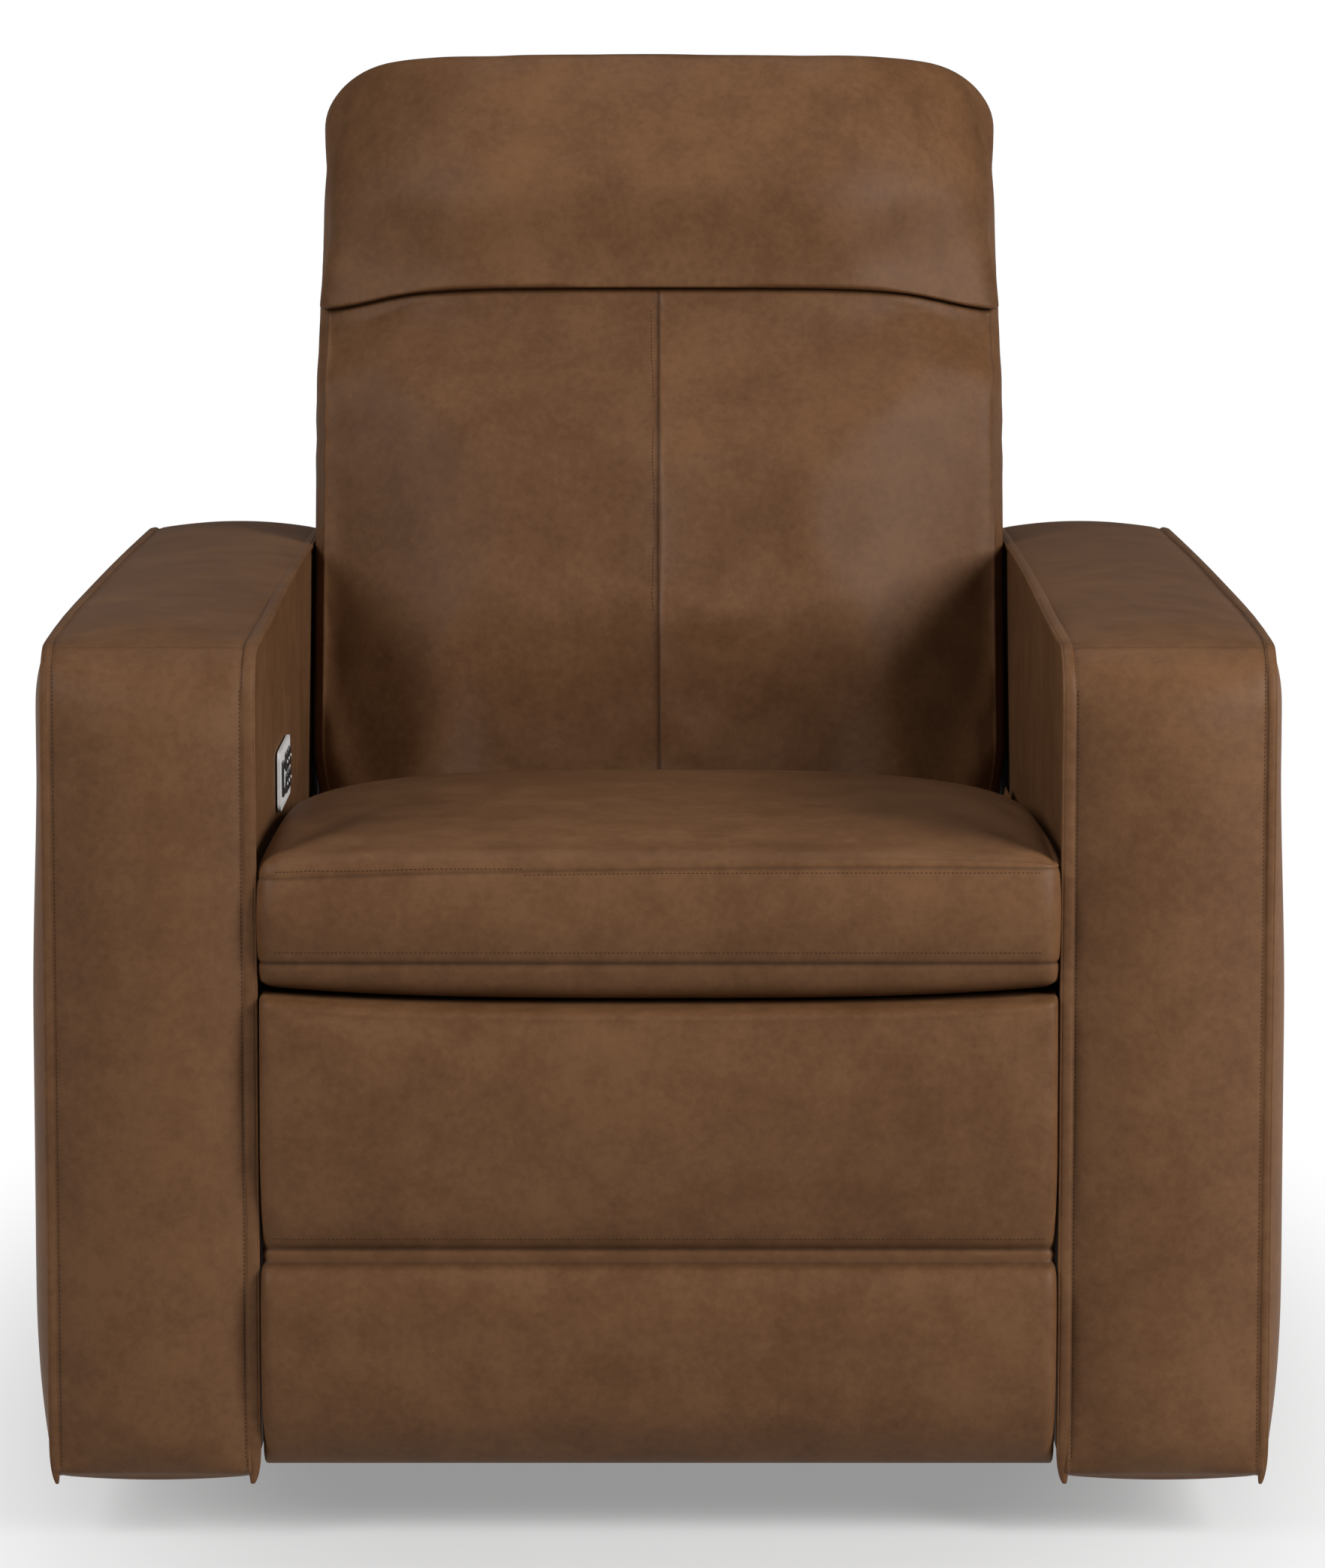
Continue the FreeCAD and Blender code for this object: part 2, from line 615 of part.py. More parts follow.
def shell_room():
    """Space inside the outside cover, open to the front and below."""
    r = HEAD_ROLL - BACK_WALL
    rear = BACK_REAR + BACK_WALL
    front = BACK_SPLIT + 1.0
    half = BACK_HALF - BACK_WALL
    top_front = HEAD_T + math.sqrt(r ** 2 - (front - HEAD_N) ** 2)
    top_rear = HEAD_T + math.sqrt(r ** 2 - (rear - HEAD_N) ** 2)
    return plate(-half, half, (rear, BACK_SKIRT - 50), [
        ((front, BACK_SKIRT - 50),),
        ((front, top_front),),
        (polar((HEAD_N, HEAD_T), 90.0, r), (rear, top_rear)),
    ])


def build_back():
    cushion = loft([back_profile(x) for x in sorted(stations(BACK_HALF - 6, 46.0) + [-5.0, 0.0, 5.0])])
    save("back_cushion", lean(cushion))

    shell = shell_solid().cut(shell_room())
    for s in (-1, 1):
        x = sorted((s * (HEAD_ARM_X - 1.0), s * (HEAD_ARM_X + 7.0)))
        slot = plate(x[0], x[1], (HEAD_N, HEAD_T), [
            (polar((HEAD_N, HEAD_T), 105.0, 160),),
            (polar((HEAD_N, HEAD_T), 78.0, 160), polar((HEAD_N, HEAD_T), 51.0, 160)),
        ])
        shell = shell.cut(slot)
    save("back_shell", lean(shell))

    low = SEAT_ROLL + ROLL_GAP + FRAME_GAP
    high = HEAD_T + 2.5 * FRAME_GAP
    front = BACK_SPLIT - 2.0
    inside = BRACKET_X - 0.6 * FRAME_RAIL
    stile = block(front - FRAME_RAIL, front, low, high, inside, BRACKET_X)
    frame = [stile, stile.mirror(V(0, 0, 0), V(1, 0, 0))]
    frame.append(block(front - FRAME_RAIL, front, low, low + FRAME_RAIL, -inside, inside))
    frame.append(block(front - 22, front, high - 0.9 * FRAME_RAIL, high, -inside, inside))
    save("back_frame", lean(Part.makeCompound(frame)))

    straps = []
    for i in range(3):
        t = low + 2 * FRAME_RAIL + i * (high - low - 4.3 * FRAME_RAIL) / 2
        edge = BRACKET_X - PLATE
        straps.append(block(front, front + WEB_THICK, t - WEB_WIDTH / 2, t + WEB_WIDTH / 2, -edge, edge))
    save("back_webbing", lean(Part.makeCompound(straps)))

    tip = (-0.5 * BRACKET_HALF, HEAD_T - 5.5 * BRACKET_HALF)
    bracket = bar((0, 0), tip, BRACKET_HALF, BRACKET_X, BRACKET_X + PLATE)
    bracket = bracket.cut(rod((0, 0), STUD + STUD_FIT, BRACKET_X - 1, BRACKET_X + 9))
    save("back_brackets", lean(both(bracket)))

    tube = rod((-40, 25), 12.0, -BRACKET_X, BRACKET_X)
    pin = polar((0, 0), 90.0 + CRANK_ANGLE, CRANK)
    lug = bar((-40, 25), pin, 11.0, LUG_GAP, LUG_GAP + PLATE)
    crank = tube.fuse(lug).fuse(lug.mirror(V(0, 0, 0), V(1, 0, 0)))
    crank = crank.fuse(rod(pin, STUD, -LUG_GAP - PLATE, LUG_GAP + PLATE))
    save("back_crank_tube", lean(crank.removeSplitter()))

    hanger = bar((HEAD_N, HEAD_T), (0, HEAD_T - 4), 16.0, HEAD_ARM_X + 16, HEAD_ARM_X + 20)
    hanger = hanger.cut(block(-4, 60, 0, 900, 0, 400))
    hanger = hanger.cut(rod((HEAD_N, HEAD_T), HEAD_SHAFT + STUD_FIT, HEAD_ARM_X, HEAD_ARM_X + 40))
    save("headrest_bearings", lean(both(hanger)))

    motor = block(HEAD_N - 26, -4, HEAD_T - 34, HEAD_T + 26, -60, 0)
    motor = motor.fuse(Part.makeCylinder(22, 80, at(HEAD_N + 6, HEAD_T - 50, -40), V(1, 0, 0)))
    motor = motor.cut(rod((HEAD_N, HEAD_T), HEAD_SHAFT + STUD_FIT, -70, 10))
    save("headrest_motor", lean(motor.removeSplitter()))


def head_profile(x):
    pull = edge_drop(x, BACK_HALF, 30.0, 42.0)
    sink = edge_drop(x, BACK_HALF, 34.0, 70.0)
    r = HEAD_ROLL + 1.0
    head = (HEAD_N, HEAD_T)
    lip_n = 48.0 - 0.7 * pull
    lip = (lip_n, HEAD_T + math.sqrt(r ** 2 - (lip_n - HEAD_N) ** 2))
    heel_n = BACK_REAR + 8 + 0.4 * pull
    heel = (heel_n, HEAD_T + math.sqrt(r ** 2 - (heel_n - HEAD_N) ** 2))
    front = HEAD_FRONT - pull
    top = HEAD_TOP - sink
    shoulder = (front - 26, lip[1] + 0.74 * (top - lip[1]))
    nape = (BACK_REAR + 22 + 0.4 * pull, top - 46)
    crest = (-22.0, top)
    return outline(x, heel, [
        (polar(head, 88.0, r), lip),
        ((front, lip[1] + 0.36 * (top - lip[1])), shoulder),
        ((crest[0] + 0.62 * (shoulder[0] - crest[0]), top - 0.26 * (top - shoulder[1])), crest),
        ((crest[0] - 0.6 * (crest[0] - nape[0]), top - 12), nape),
    ])


def build_headrest():
    places = sorted(stations(BACK_HALF, 42.0) + [-214.0, 214.0])
    cushion = loft([head_profile(x) for x in places])
    room = block(-80, -52, HEAD_T, HEAD_TOP - 50, -HEAD_ARM_X - 10, HEAD_ARM_X + 10)
    save("headrest_cushion", lean(cushion.cut(room)))

    board = block(-78, -66, HEAD_T + HEAD_ROLL + 8, HEAD_TOP - 56, -HEAD_ARM_X - 8, HEAD_ARM_X + 8)
    save("headrest_board", lean(board))

    arm = bar((HEAD_N, HEAD_T), (-58, HEAD_TOP - 90), 9.0, HEAD_ARM_X, HEAD_ARM_X + 6)
    arm = arm.cut(block(-90, -66, HEAD_T + HEAD_ROLL, HEAD_TOP, 0, 400))
    arm = arm.cut(block(-53, 0, HEAD_T + HEAD_ROLL - 1, HEAD_TOP, 0, 400))
    arms = arm.fuse(arm.mirror(V(0, 0, 0), V(1, 0, 0)))
    shaft = rod((HEAD_N, HEAD_T), HEAD_SHAFT, -HEAD_ARM_X - 24, HEAD_ARM_X + 24)
    save("headrest_arms", lean(arms.fuse(shaft).removeSplitter()))


def pad_wire(x):
    pull = edge_drop(x, PAD_HALF, 26.0, 34.0)
    trim = edge_drop(x, PAD_HALF, 16.0, 34.0)
    front = PAD_FRONT - pull
    low = PAD_LOW + trim
    top = PAD_TOP - trim
    rear = BOARD_REAR + BOARD_THICK
    seam = front - 9
    band = PAD_BAND
    return outline(x, (rear, low + 6), [
        ((rear + 20, low),),
        ((front - 14, low + 8), (front - 5, low + 34)),
        ((front, 0.5 * (low + 34 + band)), (seam, band)),
        ((seam, band + BAND_WIDTH),),
        ((front, 0.5 * (band + top - 44)), (front - 6, top - 44)),
        ((front - 19, top - 10), (rear + 12, top)),
        ((rear, top - 4),),
    ])


def build_footrest():
    z0 = LINK_X
    z1 = LINK_X + PLATE
    r0 = REACH_X
    r1 = REACH_X + PLATE

    tube = rod(DRIVE, DRIVE_TUBE, -LINK_X, LINK_X)
    tube = tube.fuse(rod(DRIVE, DRIVE_STUB, -SIDE_OUT, SIDE_OUT))
    save("drive_tube", tube.removeSplitter())

    link = bar(DRIVE, KNEE, LINK_HALF, z0, z1).fuse(rod(DRIVE, DRIVE_TUBE + 2, z0, z1))
    link = link.cut(rod(DRIVE, DRIVE_STUB + 0.2, z0 - 1, z1 + 1))
    for p in (KNEE, GUIDE):
        link = link.fuse(stud(p, r0 - 0.7 - HEAD_THICK, z0, head_out=False))
    save("drive_links", both(link.removeSplitter()))

    link = bar(REAR, HEEL, LINK_HALF, z0, z1)
    link = link.cut(rod(REAR, STUD + STUD_FIT, z0 - 1, z1 + 1))
    link = link.fuse(stud(HEEL, r0 - 0.7 - HEAD_THICK, z0, head_out=False))
    save("rear_links", both(link.removeSplitter()))

    link = bar(HEEL, KNEE, LINK_HALF, r0, r1).fuse(bar(KNEE, FOOT, LINK_HALF, r0, r1))
    link = link.cut(rod(KNEE, STUD + STUD_FIT, r0 - 1, r1 + 1))
    link = link.cut(rod(HEEL, STUD + OPEN_FIT, r0 - 1, r1 + 1))
    link = link.fuse(stud(FOOT, r1, z1 + 0.7 + HEAD_THICK))
    save("reach_links", both(link.removeSplitter()))

    link = bar(GUIDE, FOOT_GUIDE, LINK_HALF, r0, r1)
    link = link.cut(rod(GUIDE, STUD + STUD_FIT, r0 - 1, r1 + 1))
    link = link.cut(rod(FOOT_GUIDE, STUD + OPEN_FIT, r0 - 1, r1 + 1))
    save("guide_links", both(link))

    back_f = BOARD_REAR - PLATE
    ear = LINK_HALF
    bracket = bar(FOOT, FOOT_GUIDE, ear, z0, z1)
    arm = plate(z0, z1, (FOOT[0], FOOT[1] - ear), [
        ((BOARD_REAR, FOOT[1] - 30),),
        ((BOARD_REAR, FOOT_GUIDE[1] + 30),),
        ((FOOT_GUIDE[0], FOOT_GUIDE[1] + ear),),
    ])
    bracket = bracket.fuse(arm)
    flange = block(back_f, BOARD_REAR, FOOT[1] - 30, FOOT_GUIDE[1] + 30, z0 - 40, z1)
    bracket = bracket.fuse(flange)
    bracket = bracket.cut(rod(FOOT, STUD + STUD_FIT, z0 - 1, z1 + 1))
    bracket = bracket.fuse(stud(FOOT_GUIDE, r0 - 0.7 - HEAD_THICK, z0, head_out=False))
    save("footrest_brackets", both(bracket.removeSplitter()))

    edge = PAD_HALF - 8
    board = block(BOARD_REAR, BOARD_REAR + BOARD_THICK, PAD_LOW + 12, PAD_TOP - 10, -edge, edge)
    save("footrest_board", board)
    save("footrest_pad", loft([pad_wire(x) for x in stations(PAD_HALF, 34.0)]))


def turn_to(shape, p, angle):
    """Lays a shape built along +f from the origin onto a pivot at the given side-view angle."""
    out = shape.copy()
    out.rotate(V(0, 0, 0), V(1, 0, 0), -angle)
    out.translate(at(*p))
    return out


def build_actuator():
    base = (MOTOR_F, MOTOR_Z)
    tip = polar(HINGE, 90.0 + BACK_LEAN + CRANK_ANGLE, CRANK)
    long = math.dist(base, tip)
    angle = math.degrees(math.atan2(tip[1] - base[1], tip[0] - base[0]))
    body_long = long - 105.0

    body = rod((0, 0), 14.0, -LUG_GAP - 11, LUG_GAP + 11)
    body = body.fuse(block(0, 78, -22, 22, -LUG_GAP - 11, LUG_GAP + 11))
    body = body.fuse(Part.makeCylinder(17, body_long - 60, at(60, 0), V(0, -1, 0)))
    body = body.fuse(Part.makeCylinder(19, 92, at(56, 20), V(0, 0, -1)))
    body = body.cut(Part.makeCylinder(ROD + ROD_FIT, body_long, at(70, 0), V(0, -1, 0)))
    body = body.cut(rod((0, 0), STUD + STUD_FIT, -40, 40))
    save("actuator_body", turn_to(body.removeSplitter(), base, angle))

    shaft = Part.makeCylinder(ROD, long - 16 - 140, at(140, 0), V(0, -1, 0))
    eye = bar((long - 24, 0), (long, 0), 13.0, -LUG_GAP + 1.5, LUG_GAP - 1.5)
    slot = bar((long, -0.2), (long, 4.3), STUD + OPEN_FIT + 0.2, -40, 40)
    save("actuator_rod", turn_to(shaft.fuse(eye).cut(slot).removeSplitter(), base, angle))


def control_block(long, high, x0, x1, f=CONTROL_F, z=CONTROL_Z):
    return block(f - long / 2, f + long / 2, z - high / 2, z + high / 2, -x1, -x0)


def key_places():
    places = []
    for row in (-0.5, 0.5):
        for col in (-1, 0, 1):
            places.append((CONTROL_F - KEYS_BACK + col * KEY_PITCH, CONTROL_Z + row * KEY_PITCH))
    return places


def build_control():
    home_f = CONTROL_F + HOME_FORWARD
    home_high = 2 * KEY_SIZE
    bezel = control_block(CONTROL_LONG, CONTROL_HIGH, ARM_INNER - BEZEL, ARM_INNER)
    corners = [e for e in bezel.Edges if abs(e.tangentAt(e.FirstParameter).x) > 0.9]
    bezel = bezel.makeFillet(7.0, corners)
    housing = control_block(CONTROL_LONG - 10, CONTROL_HIGH - 10, ARM_INNER, ARM_INNER + 20)
    places = [(f, z, KEY_SIZE, KEY_SIZE) for f, z in key_places()]
    places.append((home_f, CONTROL_Z, KEY_SIZE + 4, home_high))
    names = ["headrest_up_key", "recline_key", "footrest_open_key",
             "headrest_down_key", "upright_key", "footrest_close_key", "home_key"]
    for name, (f, z, long, high) in zip(names, places):
        room = 2 * KEY_GAP
        hole = control_block(long + room, high + room, ARM_INNER - 9, ARM_INNER + 12, f, z)
        bezel = bezel.cut(hole)
        housing = housing.cut(hole)
        back = ARM_INNER + 12 - KEY_TRAVEL - KEY_GAP
        save(name, control_block(long, high, ARM_INNER - BEZEL - 1.5, back, f, z))
    save("control_bezel", bezel)
    save("control_housing", housing)


build_base()
build_stage()
build_swings()
build_carriage()
build_side_plates()
build_arms()
build_seat()
build_back()
build_headrest()
build_footrest()
build_actuator()
build_control()
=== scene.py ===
import math
import bmesh
import bpy
import numpy as np
from mathutils import Matrix, Vector, noise
from mathutils.bvhtree import BVHTree


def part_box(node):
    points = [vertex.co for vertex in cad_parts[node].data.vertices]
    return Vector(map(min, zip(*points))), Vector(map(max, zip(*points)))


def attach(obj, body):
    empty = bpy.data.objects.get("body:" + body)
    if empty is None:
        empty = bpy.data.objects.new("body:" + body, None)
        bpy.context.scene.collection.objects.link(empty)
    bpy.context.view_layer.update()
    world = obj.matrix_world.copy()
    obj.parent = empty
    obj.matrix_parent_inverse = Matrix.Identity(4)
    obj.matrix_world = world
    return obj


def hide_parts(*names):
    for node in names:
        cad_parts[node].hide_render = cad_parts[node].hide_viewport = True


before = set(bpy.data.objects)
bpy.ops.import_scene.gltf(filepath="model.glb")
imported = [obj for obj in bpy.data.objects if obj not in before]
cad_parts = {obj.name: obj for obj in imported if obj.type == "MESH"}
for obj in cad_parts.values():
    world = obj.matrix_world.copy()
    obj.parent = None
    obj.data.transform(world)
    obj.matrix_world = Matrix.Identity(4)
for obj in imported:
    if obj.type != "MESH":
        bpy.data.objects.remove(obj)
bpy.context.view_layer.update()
scene = bpy.context.scene


# Base, glider stage and linkage. Pressed steel plates, flat links, a rolled ring and square
# tubes, stamped and welded, then dipped in satin black paint that shows a faint orange peel.
class Wire:
    """One socket of a finish. Sums on it add Math nodes to the same node tree."""

    def __init__(self, tree, socket=None):
        self.tree = tree
        self.socket = socket

    def node(self, kind, settings=None, inputs=None, out=0):
        made = self.tree.nodes.new(kind)
        for name, value in (settings or {}).items():
            if name == "stops":
                ramp = made.color_ramp
                ramp.elements.remove(ramp.elements[1])
                ramp.elements[0].position, ramp.elements[0].color = value[0][0], (*value[0][1], 1)
                for place, tone in value[1:]:
                    ramp.elements.new(place).color = (*tone, 1)
            else:
                setattr(made, name, value)
        self.feed(made, inputs or {})
        return Wire(self.tree, made.outputs[out])

    def feed(self, made, inputs):
        for name, value in inputs.items():
            if isinstance(value, Wire):
                self.tree.links.new(value.socket, made.inputs[name])
            else:
                made.inputs[name].default_value = value

    def math(self, operation, a, b):
        return self.node("ShaderNodeMath", {"operation": operation}, {0: a, 1: b})

    def __add__(self, other):
        return self.math("ADD", self, other)

    def __radd__(self, other):
        return self.math("ADD", other, self)

    def __sub__(self, other):
        return self.math("SUBTRACT", self, other)

    def __rsub__(self, other):
        return self.math("SUBTRACT", other, self)

    def __mul__(self, other):
        return self.math("MULTIPLY", self, other)

    def __rmul__(self, other):
        return self.math("MULTIPLY", other, self)

    def noise(self, scale, detail=3.0, rough=0.55):
        return self.node("ShaderNodeTexNoise", {}, {"Vector": self, "Scale": scale, "Detail": detail,
                                                    "Roughness": rough})

    def blend(self, first, second):
        """This value as the share of the second colour over the first."""
        return self.node("ShaderNodeMix", {"data_type": "RGBA"}, {0: self, 6: first, 7: second}, out=2)

    def shade(self, colour):
        """A colour darkened by this value."""
        return self.node("ShaderNodeMix", {"data_type": "RGBA", "blend_type": "MULTIPLY"},
                         {0: 1.0, 6: colour, 7: self}, out=2)

    def bump(self, strength, distance, below=None):
        inputs = {"Height": self, "Strength": strength, "Distance": distance}
        if below:
            inputs["Normal"] = below
        return self.node("ShaderNodeBump", {}, inputs)


def new_finish(name, place=(0, 0, 0), stretch=(1, 1, 1)):
    """A finish, its shader and its pattern coordinates, shifted so that no two hides look alike."""
    finish = bpy.data.materials.new(name)
    finish.use_nodes = True
    wire = Wire(finish.node_tree)
    spot = wire.node("ShaderNodeTexCoord", out=3)
    spot = wire.node("ShaderNodeMapping", {}, {"Vector": spot, "Location": place, "Scale": stretch})
    return finish, finish.node_tree.nodes["Principled BSDF"], spot


def cover(finish, *nodes):
    """Gives CAD nodes a finish."""
    for name in nodes:
        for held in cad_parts[name].material_slots:
            held.material = finish


paint, shader, spot = new_finish("satin_black_paint")
peel = spot.noise(420.0, 2.0)
cloud = spot.noise(14.0, 3.0)
spot.feed(shader, {"Base Color": cloud.blend((0.012, 0.012, 0.013, 1), (0.030, 0.030, 0.032, 1)),
                   "Roughness": 0.34 + 0.16 * cloud, "Normal": peel.bump(0.12, 0.0006)})
cover(paint, "base_ring", "base_cross", "swivel_post", "swivel_plate", "stage_frame", "stage_hangers",
      "front_swing_links", "rear_swing_links", "glide_rails", "front_cross_tube", "rear_cross_tube",
      "side_plates", "actuator_bracket", "back_brackets", "back_crank_tube", "headrest_bearings",
      "headrest_arms", "drive_links", "rear_links", "reach_links", "guide_links", "footrest_brackets")

# Bolts, the footrest shaft and the actuator rod: drawn or turned steel with a fine grain, under a
# thin pale zinc coat that is a little cloudy.
zinc, shader, spot = new_finish("zinc_plate")
grain = spot.noise(260.0, 4.0)
cloud = spot.noise(30.0, 2.0)
spot.feed(shader, {"Base Color": cloud.blend((0.42, 0.43, 0.44, 1), (0.60, 0.60, 0.58, 1)),
                   "Metallic": 1.0, "Roughness": 0.26 + 0.22 * grain, "Normal": grain.bump(0.08, 0.0004)})
cover(zinc, "arm_bolts", "drive_tube", "actuator_rod")

# Floor pads, motor housings, the swivel washer and the power socket: moulded black plastic
# with a fine spark-eroded texture and slightly paler high spots.
moulding, shader, spot = new_finish("moulded_black_plastic")
texture = spot.noise(900.0, 2.0)
cloud = spot.noise(22.0, 2.0)
spot.feed(shader, {"Base Color": cloud.blend((0.010, 0.010, 0.011, 1), (0.024, 0.024, 0.026, 1)),
                   "Roughness": 0.46 + 0.18 * texture, "Normal": texture.bump(0.22, 0.0004)})
cover(moulding, "floor_glides", "swivel_washer", "footrest_motor", "headrest_motor", "actuator_body",
      "power_inlet", "control_housing")

# Inner boards of the arms, seat, back, headrest and footrest: sawn plywood, left raw under the
# covers, with long grain along the board and thin darker growth lines.
plywood, shader, spot = new_finish("raw_plywood", stretch=(9.0, 1.4, 9.0))
ring_line = spot.noise(16.0, 5.0, 0.6)
fibre = spot.noise(110.0, 3.0)
veneer = [(0.35, (0.40, 0.25, 0.13)), (0.52, (0.56, 0.39, 0.22)), (0.68, (0.63, 0.46, 0.28))]
tone = spot.node("ShaderNodeValToRGB", {"stops": veneer}, {0: ring_line})
spot.feed(shader, {"Base Color": tone, "Roughness": 0.55 + 0.25 * fibre,
                   "Normal": fibre.bump(0.2, 0.0006)})
cover(plywood, "left_arm_frame", "right_arm_frame", "seat_frame", "back_frame", "headrest_board",
      "footrest_board")

# Webbing under the seat and back: woven elastic bands with a coarse rib across them, stapled
# to the boards.
webbing, shader, spot = new_finish("elastic_webbing")
rib = spot.node("ShaderNodeTexWave", {"wave_type": "BANDS", "bands_direction": "DIAGONAL"},
                {"Vector": spot, "Scale": 160.0, "Distortion": 0.6, "Detail": 1.0}, out=1)
fray = spot.noise(300.0, 2.0)
spot.feed(shader, {"Base Color": rib.blend((0.030, 0.028, 0.026, 1), (0.090, 0.085, 0.080, 1)),
                   "Roughness": 0.80 + 0.15 * fray, "Normal": rib.bump(0.5, 0.0008)})
cover(webbing, "seat_webbing", "back_webbing")


# Arms: plywood boxes padded with wadding and covered in brown leather. One strip runs up the front,
# over the rounded corner and along the top, and its edges are sewn to the side panels as flat
# flanges with a line of topstitching at the foot of each flange.
def hide(name, place, lift=1.0):
    """Brown leather: cloudy dye, darker along sewn seams (partly their own darker leather, partly painted
    shade in their creases), fine pebbled grain, soft sheen.
    """
    finish, shader, spot = new_finish(name, place)
    cloud = spot.noise(7.0, 2.0, 0.5)
    patch = spot.noise(26.0, 4.0, 0.6)
    scuff = spot.noise(150.0, 4.0, 0.65)
    fold = spot.node("ShaderNodeAttribute", {"attribute_name": "fold"}, out=2)
    share = 0.30 * cloud + 0.38 * patch + 0.32 * scuff
    tone = spot.node("ShaderNodeMapRange", {"interpolation_type": "SMOOTHSTEP"},
                     {"Value": share, "From Min": 0.30, "From Max": 0.70})
    dyes = [(0.0, (0.088, 0.038, 0.0145)), (0.5, (0.116, 0.053, 0.0220)), (1.0, (0.146, 0.070, 0.0300))]
    stops = [(at, tuple(lift * c for c in dye)) for at, dye in dyes]
    brown = spot.node("ShaderNodeValToRGB", {"stops": stops}, {0: tone})
    # Painted shade: the dye is darkened where the fold mark lies along the sewn creases.
    painted_seam_shade = 1.0 - 0.72 * fold
    shaded = spot.node("ShaderNodeCombineColor", {}, {0: painted_seam_shade, 1: painted_seam_shade, 2: painted_seam_shade}).shade(brown)
    pebble = spot.node("ShaderNodeTexVoronoi", {"feature": "SMOOTH_F1"},
                       {"Vector": spot, "Scale": 620.0, "Smoothness": 0.6, "Randomness": 1.0})
    soft = spot.noise(26.0, 3.0, 0.5).bump(0.08, 0.006)
    grain = (0.7 * pebble + 0.5 * spot.noise(1300.0, 2.0)).bump(0.12, 0.0006, soft)
    spot.feed(shader, {"Base Color": shaded, "Roughness": 0.46 + 0.08 * patch + 0.10 * scuff,
                       "Normal": grain, "Specular IOR Level": 0.16})
    return finish


def loops(low, high, step, round_low, round_high, extra=()):
    """Places for edge loops along one side of a block, close together where its ends are round."""
    places = [low + round_low * k / 4 for k in range(1, 5)]
    places += [high - round_high * k / 4 for k in range(1, 5)]
    first, last = low + round_low, high - round_high
    count = max(1, round((last - first) / step))
    places += [first + (last - first) * k / count for k in range(1, count)]
    kept = [p for p in places if all(abs(p - e) > 0.0025 for e in extra)]
    return sorted(kept + list(extra))


def cut_block(low, high, places):
    """A closed block, cut through at the given places along X, Y and Z."""
    bm = bmesh.new()
    bmesh.ops.create_cube(bm, size=1.0)
    size = Vector(high) - Vector(low)
    middle = (Vector(high) + Vector(low)) / 2
    bmesh.ops.scale(bm, vec=size, verts=bm.verts)
    bmesh.ops.translate(bm, vec=middle, verts=bm.verts)
    for axis, cuts in enumerate(places):
        across = Vector([1.0 if k == axis else 0.0 for k in range(3)])
        for cut in cuts:
            everything = bm.verts[:] + bm.edges[:] + bm.faces[:]
            bmesh.ops.bisect_plane(bm, geom=everything, dist=1e-6, plane_co=across * cut, plane_no=across)
    return bm


def rounded(point, low, high, radii):
    """Where a point of a block lies once its edges are round, each end with its own radius."""
    over = []
    for c, a, b, (ra, rb) in zip(point, low, high, radii):
        over.append((c - b + rb) / rb if c > b - rb else (c - a - ra) / ra if c < a + ra else 0.0)
    long = math.sqrt(sum(o * o for o in over))
    if long == 0.0:
        return tuple(point)
    share = max(abs(o) for o in over) / long
    out = []
    for c, a, b, (ra, rb), o in zip(point, low, high, radii, over):
        out.append(b - rb + rb * o * share if o > 0 else a + ra + ra * o * share if o < 0 else c)
    return tuple(out)


def swell(share):
    """Height of a stuffed panel, steep by its seam and flat further in."""
    return 1.0 - (1.0 - min(1.0, max(0.0, share))) ** 3


def smooth(share):
    """A soft step from nought to one."""
    share = min(1.0, max(0.0, share))
    return share * share * (3.0 - 2.0 * share)


def near(value, place):
    """Whether a point of a block lies on one of its seams or faces."""
    return abs(value - place) < 1e-4


def new_piece(name, bm, finish):
    """A smooth piece from a finished bmesh."""
    mesh = bpy.data.meshes.new(name)
    bm.to_mesh(mesh)
    bm.free()
    piece = bpy.data.objects.new(name, mesh)
    scene.collection.objects.link(piece)
    mesh.shade_smooth()
    mesh.materials.append(finish)
    return piece


def upholster(name, bm, place, sewn, finish):
    """Shapes a cut block into a cover; gives it with its flat places and its sewn points' numbers."""
    bm.verts.index_update()
    flat = [v.co.copy() for v in bm.verts]
    held = [k for k, p in enumerate(flat) if sewn(p)]
    for v in bm.verts:
        v.co = place(v.co)
    bmesh.ops.recalc_face_normals(bm, faces=bm.faces[:])
    return new_piece(name, bm, finish), flat, held


